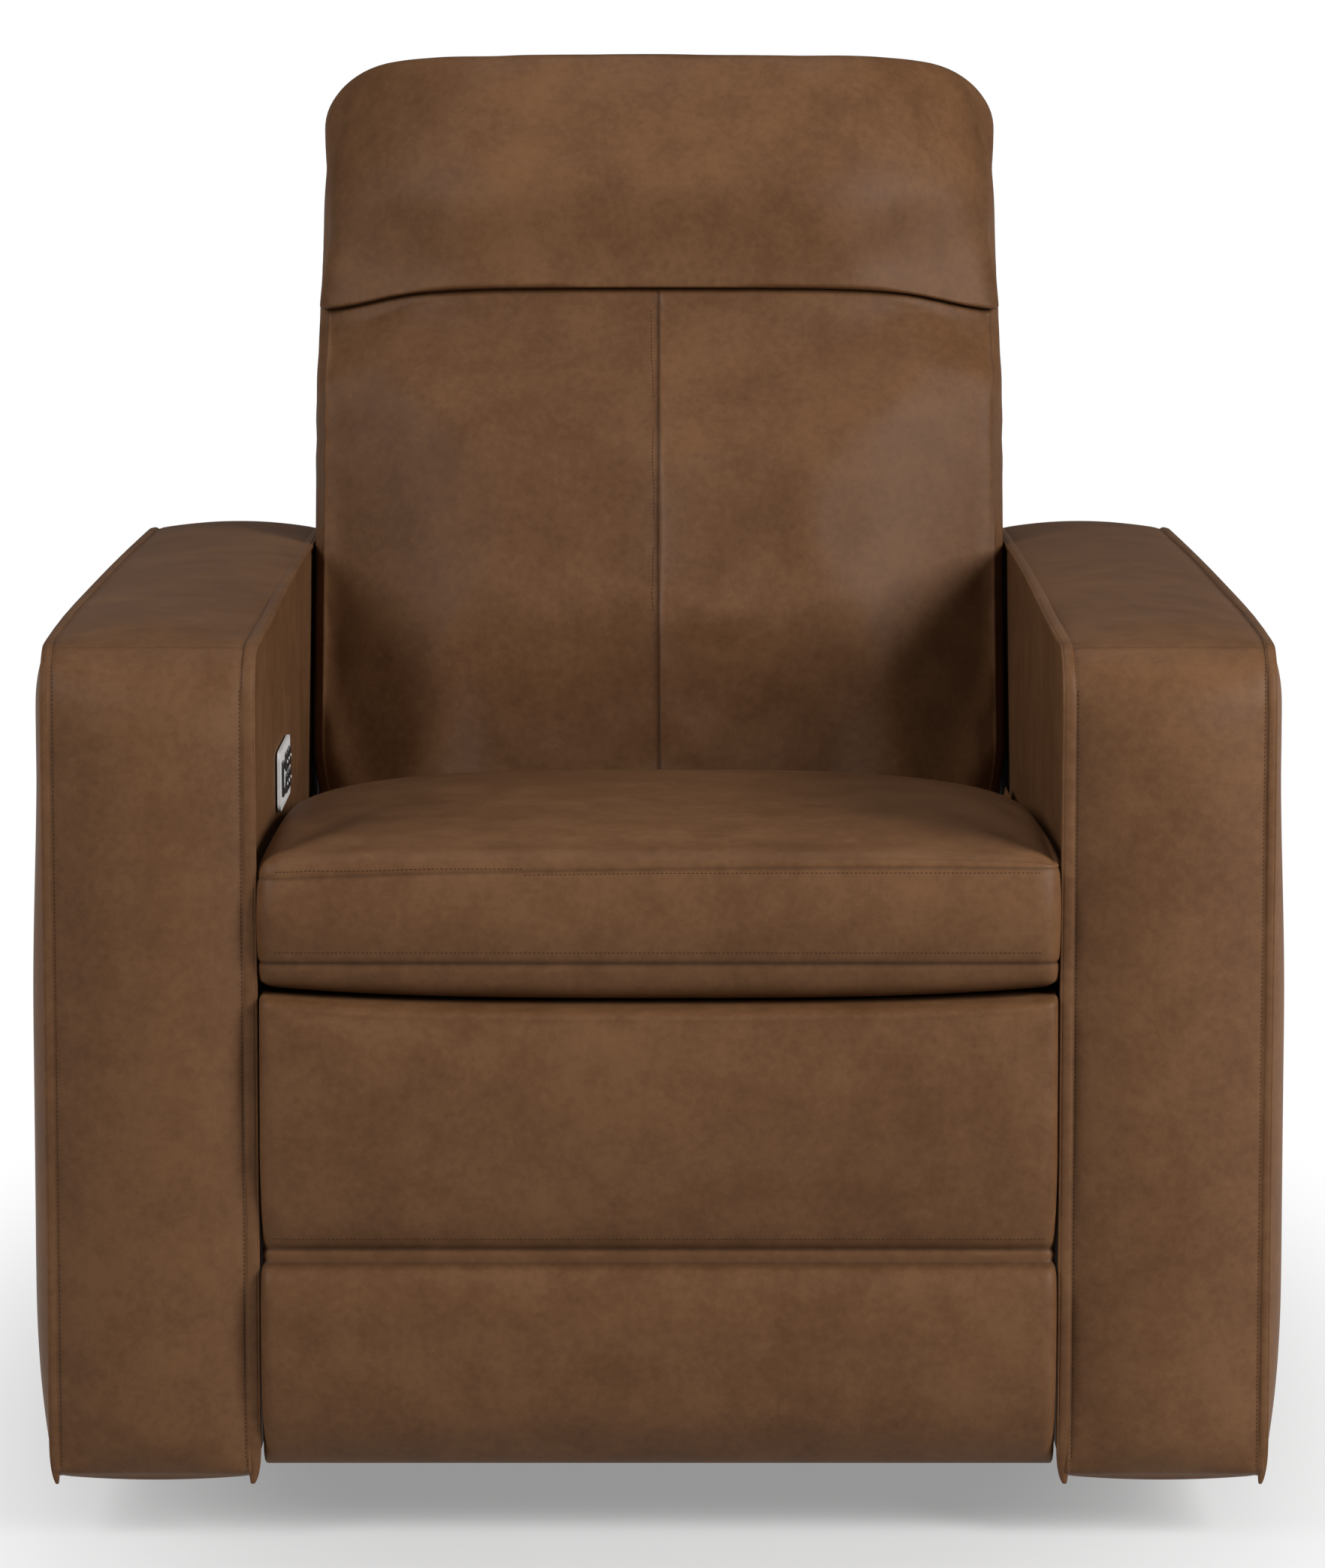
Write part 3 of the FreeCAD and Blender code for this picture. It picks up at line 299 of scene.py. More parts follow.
def stuff(piece, held, pressure, cap, slack=0.0, stiff=15.0):
    """Fills a cover: the leather swells between its seams, and no point moves out past the cap."""
    settle, drift, sink = 20, 0.003, 0.02
    group = piece.vertex_groups.new(name="seams")
    group.add(held, 1.0, "REPLACE")
    cloth = piece.modifiers.new("filling", "CLOTH")
    cloth.settings.quality = 6
    cloth.settings.mass = 0.2
    cloth.settings.tension_stiffness = stiff
    cloth.settings.compression_stiffness = stiff
    cloth.settings.shear_stiffness = stiff / 2
    cloth.settings.bending_stiffness = 1.5
    cloth.settings.shrink_min = -slack
    cloth.settings.use_pressure = True
    cloth.settings.uniform_pressure_force = pressure
    cloth.settings.effector_weights.gravity = 0.0
    cloth.settings.vertex_group_mass = "seams"
    cloth.collision_settings.use_collision = False
    for step in range(1, settle + 1):
        scene.frame_set(step)
    swollen = piece.evaluated_get(bpy.context.evaluated_depsgraph_get()).data
    count = len(piece.data.vertices)
    before = np.empty(count * 3)
    after = np.empty(count * 3)
    piece.data.vertices.foreach_get("co", before)
    swollen.vertices.foreach_get("co", after)
    move = (after - before).reshape(-1, 3)
    normal = np.array([v.normal[:] for v in piece.data.vertices])
    out = (move * normal).sum(axis=1, keepdims=True)
    slide = move - out * normal
    long = np.linalg.norm(slide, axis=1, keepdims=True)
    slide *= drift * np.tanh(0.4 * long / drift) / np.maximum(long, 1e-9)
    out = cap * np.tanh(np.where(out < 0.0, sink * out, out) / cap)
    move = out * normal + slide
    piece.modifiers.remove(cloth)
    piece.vertex_groups.remove(group)
    piece.data.vertices.foreach_set("co", (before.reshape(-1, 3) + move).ravel())
    piece.data.update()
    scene.frame_set(1)


def crease(piece, lines):
    """Presses sewn lines, each (points, depth, painted shade), into a cover and marks that painted crease
    shade for its finish.
    """
    mesh = piece.data
    normals = [v.normal.copy() for v in mesh.vertices]
    # The fold mark carries the painted shade by which the leather finish darkens its colour in each
    # crease.
    mark = mesh.attributes.get("fold") or mesh.attributes.new("fold", "FLOAT", "POINT")
    for points, depth, painted_crease_shade in lines:
        for k in points:
            mesh.vertices[k].co -= normals[k] * depth
            mark.data[k].value = max(mark.data[k].value, painted_crease_shade)
    mesh.update()


def soften(piece):
    """Rounds a piece once more between its points."""
    finer = piece.modifiers.new("finer", "SUBSURF")
    finer.levels = finer.render_levels = 1


def stitches(name, piece, path, finish, long=0.0021, pitch=0.0031, wide=0.0007):
    """A row of thread stitches laid on a cover along a path of points near its surface."""
    skin = BVHTree.FromObject(piece, bpy.context.evaluated_depsgraph_get())
    bm = bmesh.new()
    spare = pitch / 2
    for a, b in zip(path, path[1:]):
        run = (b - a).length
        while spare < run:
            spot, normal, _, _ = skin.find_nearest(a.lerp(b, spare / run))
            along = (b - a).normalized()
            side = normal.cross(along).normalized()
            along = side.cross(normal)
            laid = Matrix((along, side, normal)).transposed().to_4x4()
            size = Matrix.Diagonal((long / 2, wide / 2, wide * 0.42, 1.0))
            bmesh.ops.create_icosphere(bm, subdivisions=1, radius=1.0,
                                       matrix=Matrix.Translation(spot) @ laid @ size)
            spare += pitch
        spare -= run
    return new_piece(name, bm, finish)


thread, shader, spot = new_finish("brown_thread")
twist = spot.noise(1500.0, 2.0)
spot.feed(shader, {"Base Color": twist.blend((0.026, 0.010, 0.004, 1), (0.048, 0.020, 0.008, 1)),
                   "Roughness": 0.65 + 0.2 * twist, "Specular IOR Level": 0.15})

arm_low, arm_high = (0.2905, -0.451, 0.0430), (0.4325, 0.369, 0.645)
arm_mid, arm_room = 0.36, (0.2900, 0.4485)
nose, heel, hem = 0.040, 0.014, 0.012
flange_in, flange_out = 0.2942, 0.4272
strip_mid, strip_half = 0.3607, 0.0665
corner_seam = -0.4235
corner_y, corner_z = -0.411, 0.605
side_full, front_full, top_full, foot_full = 0.0142, 0.0155, 0.006, 0.003
arm_block = cut_block(arm_low, arm_high, [
    loops(arm_low[0], arm_high[0], 0.0125, 0.003, 0.004,
          (0.2930, flange_in, 0.2958, 0.4256, flange_out, 0.4288)),
    loops(arm_low[1], arm_high[1], 0.016, nose, heel,
          (corner_seam - 0.002, corner_seam, corner_seam + 0.002)),
    loops(arm_low[2], arm_high[2], 0.016, hem, nose)])


def bow(y, z):
    """How far the top outer edge of an arm stands out along its length."""
    out = 0.0062 * smooth((y + 0.46) / 0.16)
    out *= 1.0 - 0.5 * smooth((y - 0.10) / 0.25)
    return out * smooth((z - 0.55) / 0.08)


def arm_place(p):
    """Where a point of the arm block lies: a bulged side, and a strip that is full along its middle."""
    y, z = rounded((p.y, p.z), arm_low[1:], arm_high[1:], ((nose, heel), (hem, nose)))
    x, top, flare = p.x, arm_high[2], 0.40
    across = max(0.0, 1.0 - ((p.x - strip_mid) / strip_half) ** 2)
    if near(p.x, arm_high[0]):
        side = swell((z - 0.040) / 0.165) * swell((top - z) / 0.060)
        side *= 1.0 - 0.35 * smooth((z - 0.38) / 0.20)
        x += side_full * side * swell((y - arm_low[1]) / 0.045) * swell((arm_high[1] - y) / 0.080)
    if p.x > flare:
        x += bow(y, z) * (p.x - flare) / 0.0325
    if near(p.y, arm_low[1]):
        y -= front_full * across * smooth((top - z) / 0.06) * smooth((z - 0.048) / 0.03)
    if near(p.z, top):
        z += top_full * across * smooth((y + 0.43) / 0.10)
    if near(p.z, arm_low[2]):
        z -= foot_full * across
    return Vector((x, y, z))


def on_strip(p):
    """Whether a point of the arm block lies on its front, top or rear."""
    return near(p.y, arm_low[1]) or near(p.y, arm_high[1]) or near(p.z, arm_high[2])


def on_corner_seam(p):
    return near(p.z, arm_high[2]) and near(p.y, corner_seam)


def arm_sewn(p):
    edge = on_strip(p) and not (flange_in + 1e-4 < p.x < flange_out - 1e-4)
    turned_under = p.z < 0.050
    return edge or on_corner_seam(p) or turned_under or near(p.x, arm_low[0])


leather_arm = hide("arm_leather", (0.0, 0.0, 0.0))
right_arm, flat, held = upholster("right_arm_leather", arm_block, arm_place, arm_sewn, leather_arm)
stuff(right_arm, held, 2.0, 0.007)
for v in right_arm.data.vertices:
    v.co.x = min(max(v.co.x, arm_room[0]), arm_room[1])
rows = [k for k, p in enumerate(flat) if on_strip(p) and (near(p.x, flange_in) or near(p.x, flange_out))]
cross = [k for k, p in enumerate(flat) if on_corner_seam(p)]
# Pressed seams; the last number of each is the painted shade darkening its crease.
crease(right_arm, [(rows, 0.0012, 0.22), (cross, 0.0008, 0.3)])


def extend(bm, ring, step):
    """Draws an open ring of edges straight on and returns its new end."""
    drawn = bmesh.ops.extrude_edge_only(bm, edges=ring)["geom"]
    bmesh.ops.translate(bm, vec=step, verts=[g for g in drawn if isinstance(g, bmesh.types.BMVert)])
    return [g for g in drawn if isinstance(g, bmesh.types.BMEdge)
            and all(len(v.link_faces) < 4 for v in g.verts) and len(g.link_faces) == 1]


def turn(bm, ring, centre, angle, steps):
    """Bends an open ring of edges round an X axis and returns its new end."""
    verts = list(dict.fromkeys(v for e in ring for v in e.verts))
    spun = bmesh.ops.spin(bm, geom=verts + ring, cent=centre, axis=(1, 0, 0), angle=angle, steps=steps)
    return [g for g in spun["geom_last"] if isinstance(g, bmesh.types.BMEdge)]


def flange(bm, x, wide, thick):
    """A soft band round the front, top and rear of an arm strip, swept from its cross section."""
    front_y, foot_z, square = -0.4490, 0.0420, 0.7
    start = bmesh.ops.create_circle(bm, cap_ends=True, segments=16, radius=1.0)["verts"]
    for v in start:
        c, s = v.co.x, v.co.y
        v.co = Vector((x + math.copysign(abs(c) ** square, c) * wide / 2,
                       front_y + math.copysign(abs(s) ** square, s) * thick / 2, foot_z))
    ring = [e for e in bm.edges if all(v in start for v in e.verts)]
    for rise in (0.004, 0.008, 0.010, 0.012, 0.0690, 0.12, 0.12, 0.12, 0.1):
        ring = extend(bm, ring, (0, 0, rise))
    ring = turn(bm, ring, (0, corner_y, corner_z), math.radians(-90), 9)
    for back in (0.15, 0.16, 0.16, 0.15, 0.146):
        ring = extend(bm, ring, (0, back, 0))
    ring = turn(bm, ring, (0, 0.355, 0.631), math.radians(-90), 6)
    for fall in (0.2, 0.2, 0.17):
        ring = extend(bm, ring, (0, 0, -fall))
    bmesh.ops.edgeloop_fill(bm, edges=ring)


bands = bmesh.new()
for x, wide, thick in ((0.2892, 0.0088, 0.0050), (0.2852, 0.0028, 0.0036),
                       (0.4313, 0.0062, 0.0050), (0.4343, 0.0026, 0.0036)):
    flange(bands, x, wide, thick)
noise.seed_set(5)
for v in bands.verts:
    if v.co.x > arm_mid:
        v.co.x += bow(v.co.y, v.co.z)
    elif v.co.y > -0.30:
        v.co.x += 0.0050 * smooth((v.co.y + 0.30) / 0.30)
    if v.co.y < 0.0:
        tuck = smooth((0.070 - v.co.z) / 0.028)
        fold = 0.2915 if v.co.x < arm_mid else 0.4295
        v.co.x += (fold - v.co.x) * (0.25 * tuck + 0.5 * smooth((0.049 - v.co.z) / 0.008))
        v.co.y += 0.004 * tuck
    v.co += 0.0006 * noise.noise_vector(v.co * 9.0)
bmesh.ops.recalc_face_normals(bands, faces=bands.faces[:])
right_flange = new_piece("right_arm_flange", bands, leather_arm)
soften(right_arm)
soften(right_flange)


def strip_path(x):
    """Line of points along an arm strip: up the front, over the corner and back along the top."""
    front_y, top_z, radius, count = -0.452, 0.647, 0.041, 40
    path = [Vector((x, front_y, 0.056 + 0.549 * k / count)) for k in range(count + 1)]
    path += [Vector((x, corner_y - radius * math.cos(a), corner_z + radius * math.sin(a)))
             for a in [math.radians(9 * k) for k in range(1, 11)]]
    path += [Vector((x, corner_y + 0.74 * k / count, top_z)) for k in range(1, count + 1)]
    return [p + Vector((bow(p.y, p.z) if x > arm_mid else 0.0, 0, 0)) for p in path]


right_stitch = stitches("right_arm_stitches", right_arm, strip_path(flange_in), thread)
outer_stitch = stitches("right_arm_outer_stitches", right_arm, strip_path(flange_out), thread)


def mirrored(piece, name):
    """The same piece for the other side of the chair."""
    bm = bmesh.new()
    bm.from_mesh(piece.data)
    bmesh.ops.scale(bm, vec=(-1, 1, 1), verts=bm.verts)
    bmesh.ops.reverse_faces(bm, faces=bm.faces[:])
    return new_piece(name, bm, piece.data.materials[0])


left_arm = mirrored(right_arm, "left_arm_leather")
left_flange = mirrored(right_flange, "left_arm_flange")
left_stitch = mirrored(right_stitch, "left_arm_stitches")
left_outer = mirrored(outer_stitch, "left_arm_outer_stitches")
soften(left_arm)
soften(left_flange)
for piece in (right_arm, right_flange, right_stitch, outer_stitch,
              left_arm, left_flange, left_stitch, left_outer):
    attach(piece, "chassis")
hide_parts("right_arm_cover")
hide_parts("left_arm_cover")

# Rear panel: a thin board wrapped in the same leather, tacked between the arms below the back,
# with the power socket in its left corner.
leather_panel = hide("panel_leather", (3.0, 1.0, 2.0), 0.95)
low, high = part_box("rear_panel")
panel_round = ((0.006, 0.006), (0.002, 0.006), (0.006, 0.006))
panel_block = cut_block(low, high, [
    loops(low[0], high[0], 0.03, 0.008, 0.008, (-0.212, -0.188)),
    loops(low[1], high[1], 0.006, 0.004, 0.006),
    loops(low[2], high[2], 0.025, 0.008, 0.008, (0.098, 0.122))])
panel, _, _ = upholster("rear_panel_leather", panel_block,
                        lambda p: Vector(rounded(p, low, high, panel_round)),
                        lambda p: False, leather_panel)
soften(panel)
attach(panel, "chassis")
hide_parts("rear_panel")

# Seat cushion: foam boxed in leather. A crowned top panel, a front border between two seams and
# a rolled lower lip; the lower seam has a second row of stitching just above it.
seat_half, seat_front = 0.2845, -0.459
seat_low, seat_high = (-seat_half, seat_front, 0.393), (seat_half, 0.222, 0.507)
top_seam, low_seam = 0.490, 0.422
seat_block = cut_block(seat_low, seat_high, [
    loops(seat_low[0], seat_high[0], 0.015, 0.028, 0.028),
    loops(seat_low[1], seat_high[1], 0.016, 0.044, 0.030),
    loops(seat_low[2], seat_high[2], 0.010, 0.016, 0.014,
          [seam + step for seam in (low_seam, top_seam) for step in (-0.002, 0.0, 0.002)])])
leather_seat = hide("seat_leather", (5.0, 2.0, 1.0))


def seat_place(p):
    """Where a point of the seat block lies: a crowned top, a full border and a lip tucked under."""
    side = 0.008 + 0.010 * smooth((p.z - 0.400) / 0.05)
    x, y, z = rounded(p, seat_low, seat_high, ((side, side), (0.014, 0.030), (0.012, 0.016)))
    u, forward, crest = abs(x) / seat_half, -y, 0.245
    if forward < crest:
        fall = -0.003 - 0.034 * ((crest - forward) / 0.321) ** 2
    else:
        fall = -0.003 - 0.002 * ((forward - crest) / 0.215) ** 2
    fall -= (0.004 + 0.014 * smooth((0.36 - forward) / 0.35)) * u ** 3.4
    seam = 0.004 * x / seat_half - 0.004 * u ** 3
    seam -= 0.034 * smooth((abs(x) - 0.25) / 0.033) * smooth((0.40 - forward) / 0.36)
    if p.z > top_seam:
        share = (p.z - top_seam) / (seat_high[2] - top_seam)
        z += seam * (1.0 - share) + fall * share
    elif p.z > low_seam:
        up = (p.z - low_seam) / (top_seam - low_seam)
        z += seam * up
        y -= 0.028 * up * (1.0 - up) * smooth((forward - 0.40) / 0.05)
    else:
        y += 0.010 * (low_seam - p.z) / (low_seam - seat_low[2]) * smooth((forward - 0.40) / 0.05)
        z += 0.009 * u ** 3 * (low_seam - p.z) / (low_seam - seat_low[2])
    return Vector((x, y, z))


def on_border(p, seam):
    """Whether a point of the seat block lies on a seam round its front and sides."""
    return near(p.z, seam) and (near(abs(p.x), seat_half) or near(p.y, seat_front))


def seat_sewn(p):
    under_back = p.y > 0.10
    return on_border(p, top_seam) or on_border(p, low_seam) or near(p.z, seat_low[2]) or under_back


hinge_y, hinge_z, back_lean = 0.152, 0.345, math.radians(16.0)


def crown(x, bend=0.178):
    """How far the plump front of the back or headrest falls away at the sides, past a soft bend."""
    return 0.0169 * math.log1p(math.exp((abs(x) - bend) / 0.026))


def foot_roll(x):
    """Radius, about the back's hinge, of the gap between seat and back: less at the sides."""
    return 0.118 - 0.025 * smooth((abs(x) - 0.14) / 0.12)


def seat_keep(piece):
    """Keeps the seat inside its room: in front of the back and under its roll, between the arms."""
    half, nearest, lowest, highest = 0.2870, -0.472, 0.3925, 0.522
    for v in piece.data.vertices:
        forward, up = hinge_y - v.co.y, v.co.z - hinge_z
        away, roll, face = math.hypot(forward, up), foot_roll(v.co.x), 0.056 - 0.5 * crown(v.co.x)
        front = back_lean + math.atan2(math.sqrt(roll ** 2 - face ** 2), face)
        before = (front - 0.04 - math.atan2(up, forward)) / 0.22
        room = roll - 0.0021 + 0.09 * smooth(before) + 1.5 * max(0.0, before - 0.55) ** 2
        if up > 0.0 and room < away:
            v.co.y, v.co.z = hinge_y - forward * room / away, hinge_z + up * room / away
        v.co.x = min(max(v.co.x, -half), half)
        v.co.y = max(v.co.y, nearest)
        v.co.z = min(max(v.co.z, lowest), highest)
    piece.data.update()


seat, flat, held = upholster("seat_leather_cushion", seat_block, seat_place, seat_sewn, leather_seat)
stuff(seat, held, 3.0, 0.006)
seat_keep(seat)
tops = [k for k, p in enumerate(flat) if on_border(p, top_seam)]
lows = [k for k, p in enumerate(flat) if on_border(p, low_seam)]
# Pressed seams; the last number of each is the painted shade darkening its crease.
crease(seat, [(tops, 0.0010, 0.4), (lows, 0.0022, 0.7)])
soften(seat)


def level_row(half, y, z):
    """A level line of points across the front of the chair."""
    return [Vector((-half + 2.0 * half * k / 60, y, z)) for k in range(61)]


top_thread = stitches("seat_top_stitches", seat, level_row(0.272, -0.468, top_seam + 0.001), thread)
low_thread = stitches("seat_border_stitches", seat, level_row(0.272, -0.468, low_seam + 0.0075), thread)
for piece in (seat, top_thread, low_thread):
    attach(piece, "chassis")
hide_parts("seat_cushion")

# Footrest pad: foam on a board, covered in two leather panels with a narrow sewn band between
# them; the upper panel tucks under the seat and the lower one is rolled at its foot.
pad_half, pad_rear = 0.2830, -0.401
pad_low, pad_high = (-pad_half, -0.450, 0.0525), (pad_half, pad_rear, 0.3908)
band, band_mid = (0.2075, 0.2135), 0.2105
band_seams = (band[0] - 0.0006, band[1] + 0.0006)
pad_block = cut_block(pad_low, pad_high, [
    loops(pad_low[0], pad_high[0], 0.015, 0.012, 0.012),
    loops(pad_low[1], pad_high[1], 0.010, 0.026, 0.006),
    loops(pad_low[2], pad_high[2], 0.013, 0.050, 0.008,
          (band[0] - 0.005, band_seams[0], band[0] + 0.0012,
           band[1] - 0.0012, band_seams[1], band[1] + 0.005))])
leather_foot = hide("footrest_leather", (7.0, 4.0, 3.0))


def lip_rise(x):
    """How much higher the top of the pad stands at its sides, to follow the lip of the seat."""
    return 0.008 * abs(x / pad_half) ** 3


def pad_place(p):
    """Where a point of the pad block lies: two full panels, the lower one rolled under at its foot."""
    x, bent = rounded((p.x, p.y), pad_low[:2], pad_high[:2], ((0.009, 0.009), (0.009, 0.004)))
    front = 0.008 if p.z > band_mid else 0.022
    y, z = rounded((p.y, p.z), pad_low[1:], pad_high[1:], ((front, 0.004), (0.048, 0.005)))
    y += bent - p.y
    foot, head = (pad_low[2], band[0]) if p.z < band_mid else (band[1], pad_high[2])
    up = min(1.0, max(0.0, (z - foot) / (head - foot)))
    z += lip_rise(x) * smooth((z - 0.34) / 0.045)
    full = (1.0 - ((up - 0.7) / 0.7) ** 2) * swell((1.0 - up) / (0.10 if p.z < band_mid else 0.03))
    y -= 0.015 * full * smooth((-0.418 - y) / 0.030)
    return Vector((x, y, z))


def pad_sewn(p):
    on_board = p.y > -0.4070
    on_band = abs(p.z - band_mid) < 0.004 and (p.y < -0.42 or near(abs(p.x), pad_half))
    return on_board or on_band


pad, flat, held = upholster("footrest_leather_pad", pad_block, pad_place, pad_sewn, leather_foot)
stuff(pad, held, 3.0, 0.004)
for v in pad.data.vertices:
    v.co.x = min(max(v.co.x, -0.2838), 0.2838)
    v.co.y = min(max(v.co.y, -0.469), pad_rear)
    v.co.z = min(v.co.z, 0.3912 + lip_rise(v.co.x))
edges = [k for k, p in enumerate(flat) if p.y < -0.41 and any(near(p.z, seam) for seam in band_seams)]
# Pressed seams; the last number is the painted shade darkening the band's creases.
crease(pad, [(edges, 0.0026, 0.6)])
soften(pad)
band_thread = stitches("footrest_band_stitches", pad, level_row(0.276, -0.462, band[1] + 0.006), thread)
for piece in (pad, band_thread):
    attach(piece, "footrest")
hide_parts("footrest_pad")


# Lower back: one padded cover over the frame, with two front panels sewn at a centre seam, side
# gussets and an outside panel. Its foot is hollowed to roll over the seat, its top under the headrest.
def from_hinge(x, n, t):
    """A place of the back on the chair: n ahead of its hinge and t above it, before the back leans."""
    ahead = -hinge_y + n * math.cos(back_lean) - t * math.sin(back_lean)
    return Vector((x, -ahead, hinge_z + n * math.sin(back_lean) + t * math.cos(back_lean)))


def to_hinge(co):
    """The same place measured from the hinge."""
    ahead, up = -co.y + hinge_y, co.z - hinge_z
    return (co.x, ahead * math.cos(back_lean) + up * math.sin(back_lean),
            -ahead * math.sin(back_lean) + up * math.cos(back_lean))


pivot_n, pivot_t = -0.060, 0.440


def lip_drop(x):
    """How much lower the headrest's lip hangs at its sides."""
    return 0.007 * smooth((abs(x) - 0.2) / 0.08)


def head_roll(x):
    """Radius, about the headrest's pivot, of the crease between the back and the headrest."""
    return math.hypot(0.110 - 0.75 * crown(x), 0.077 - lip_drop(x))


back_half, back_deep, back_tall = 0.2878, 0.231, 0.420
back_rear, back_foot, back_top = -0.145, 0.088, 0.050
back_block = cut_block((-back_half, 0.0, 0.0), (back_half, back_deep, back_tall), [
    loops(-back_half, back_half, 0.016, 0.032, 0.032,
          (-0.2848, -0.005, -0.0014, 0.0, 0.0014, 0.005, 0.2848)),
    loops(0.0, back_deep, 0.018, 0.020, 0.034, (back_deep - 0.003,)),
    loops(0.0, back_tall, 0.015, 0.014, 0.014)])
leather_back = hide("back_leather", (1.5, 6.0, 4.0))


def back_place(p):
    """Where a point of the back block lies: a crowned front between the rolls of seat and headrest."""
    v = p.z / back_tall
    x, deep = rounded((p.x, p.y), (-back_half, 0.0), (back_half, back_deep),
                      ((0.030, 0.030), (0.014, 0.024)))
    fall = crown(x)
    turned = 0.62 + 0.18 * smooth((abs(x) - 0.12) / 0.12)
    under = 0.030 * (1.0 - smooth((abs(x) - 0.13) / 0.09))
    front = back_foot - under * (1.0 - smooth(v / 0.36))
    front += (back_top - back_foot) * smooth((v - turned) / (1.0 - turned))
    front -= fall * (1.0 - 0.25 * smooth((v - 0.35) / 0.50))
    n = back_rear + (front - back_rear) * deep / back_deep
    low_n = back_rear + (back_foot - under - fall - back_rear) * deep / back_deep
    top_n = back_rear + (back_top - 0.75 * fall - back_rear) * deep / back_deep
    roll = foot_roll(x) + 0.0025
    rim = -0.866 * roll
    if low_n > rim:
        low_t = math.sqrt(roll ** 2 - low_n ** 2)
    else:
        low_t = 0.5 * roll * (low_n - back_rear) / (rim - back_rear)
    top_t = pivot_t + math.sqrt(max(1e-4, (head_roll(x) - 0.0012) ** 2 - (top_n - pivot_n) ** 2))
    x *= 1.0 - 0.02 * (1.0 - smooth(v / 0.10))
    if abs(p.x) > 0.27 and deep > 0.5 * back_deep:
        pucker = math.copysign(0.0026, x) * math.sin(v * 84.0)
        x += pucker * smooth((v - 0.62) / 0.12) * smooth((0.96 - v) / 0.1)
    return from_hinge(x, n, low_t + (top_t - low_t) * v)


def on_centre_seam(p):
    return near(p.x, 0.0) and near(p.y, back_deep)


def back_sewn(p):
    gusset = near(abs(p.x), back_half) and (near(p.y, back_deep) or near(p.y, 0.0))
    return on_centre_seam(p) or gusset or near(p.z, 0.0) or near(p.z, back_tall)


def back_keep(piece):
    """Keeps the lower back clear of the seat's roll, the headrest's roll and the arms."""
    for v in piece.data.vertices:
        x, n, t = to_hinge(v.co)
        away, low = math.hypot(n, t), foot_roll(x) + 0.0021
        if away < low and n > -0.9 * low and t > 0.0:
            n, t = n * low / away, t * low / away
        high, top = math.hypot(n - pivot_n, t - pivot_t), head_roll(x) - 0.0008
        if t > 0.424 and high > top:
            n, t = (n - pivot_n) * top / high + pivot_n, (t - pivot_t) * top / high + pivot_t
        wide = 0.2880 + 0.002 * smooth((t - 0.30) / 0.08)
        v.co = from_hinge(min(max(x, -wide), wide), min(max(n, -0.149), 0.098), t)
    piece.data.update()


back, flat, held = upholster("back_leather_cover", back_block, back_place, back_sewn, leather_back)
stuff(back, held, 1.0, 0.007, slack=0.01)
for v, p in zip(back.data.vertices, flat):
    if near(abs(p.x), back_half):
        v.co.x = math.copysign(max(abs(v.co.x), abs(back_place(p).x)), p.x)
back_keep(back)
centre = [k for k, p in enumerate(flat) if on_centre_seam(p)]
gusset = [k for k, p in enumerate(flat) if near(abs(p.x), back_half) and near(p.y, back_deep)]
# Pressed seams; the last number of each is the painted shade darkening its crease.
crease(back, [(centre, 0.0030, 0.8), (gusset, 0.0014, 0.3)])
soften(back)
line = [from_hinge(-0.0065, 0.093 - 0.038 * smooth((k - 40) / 20), 0.13 + 0.37 * k / 60)
        for k in range(61)]
centre_thread = stitches("back_centre_stitches", back, line, thread, wide=0.0008)
for piece in (back, centre_thread):
    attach(piece, "back")
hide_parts("back_cushion", "back_shell")

# Headrest: a padded pillow on its own board, rolled over the top of the back, with one wide front
# panel sewn to side gussets.
head_half, head_deep, head_tall = 0.287, 0.224, 0.230
head_rear, head_lip = -0.139, 0.061
head_block = cut_block((-head_half, 0.0, 0.0), (head_half, head_deep, head_tall), [
    loops(-head_half, head_half, 0.016, 0.072, 0.072),
    loops(0.0, head_deep, 0.016, 0.040, 0.044),
    loops(0.0, head_tall, 0.012, 0.008, 0.056)])
leather_head = hide("headrest_leather", (2.0, 9.0, 6.0), 1.05)


def head_place(p):
    """Where a point of the headrest block lies: a crowned front over a lip that follows the roll."""
    v = p.z / head_tall
    rx = 0.008 + 0.028 * smooth(v / 0.30) + 0.032 * smooth((v - 0.50) / 0.30)
    rn = 0.012 + 0.032 * smooth(v / 0.35)
    x, deep, tall = rounded(p, (-head_half, 0.0, 0.0), (head_half, head_deep, head_tall),
                            ((rx, rx), (0.036, rn), (0.005, 0.056)))
    v = tall / head_tall
    front = head_lip + 0.023 * smooth(v / 0.38) - 0.026 * smooth((v - 0.40) / 0.60)
    front -= crown(x) * (0.75 + 0.25 * smooth(v / 0.35))
    rear = head_rear + 0.012 * v
    n = rear + (front - rear) * deep / head_deep
    low_n = head_rear + (head_lip - 0.75 * crown(x) - head_rear) * deep / head_deep
    lip = 0.516 - lip_drop(x)
    roll = head_roll(x) + 0.0012
    low_t = max(lip, pivot_t + math.sqrt(max(1e-4, roll ** 2 - (low_n - pivot_n) ** 2)))
    top_t = 0.733 - 0.004 * (x / 0.285) ** 2
    return from_hinge(x, n, low_t + (top_t - low_t) * v)


def head_sewn(p):
    rim = near(p.y, head_deep) or near(p.y, 0.0) or near(p.z, head_tall)
    return (near(abs(p.x), head_half) and rim) or near(p.z, 0.0)


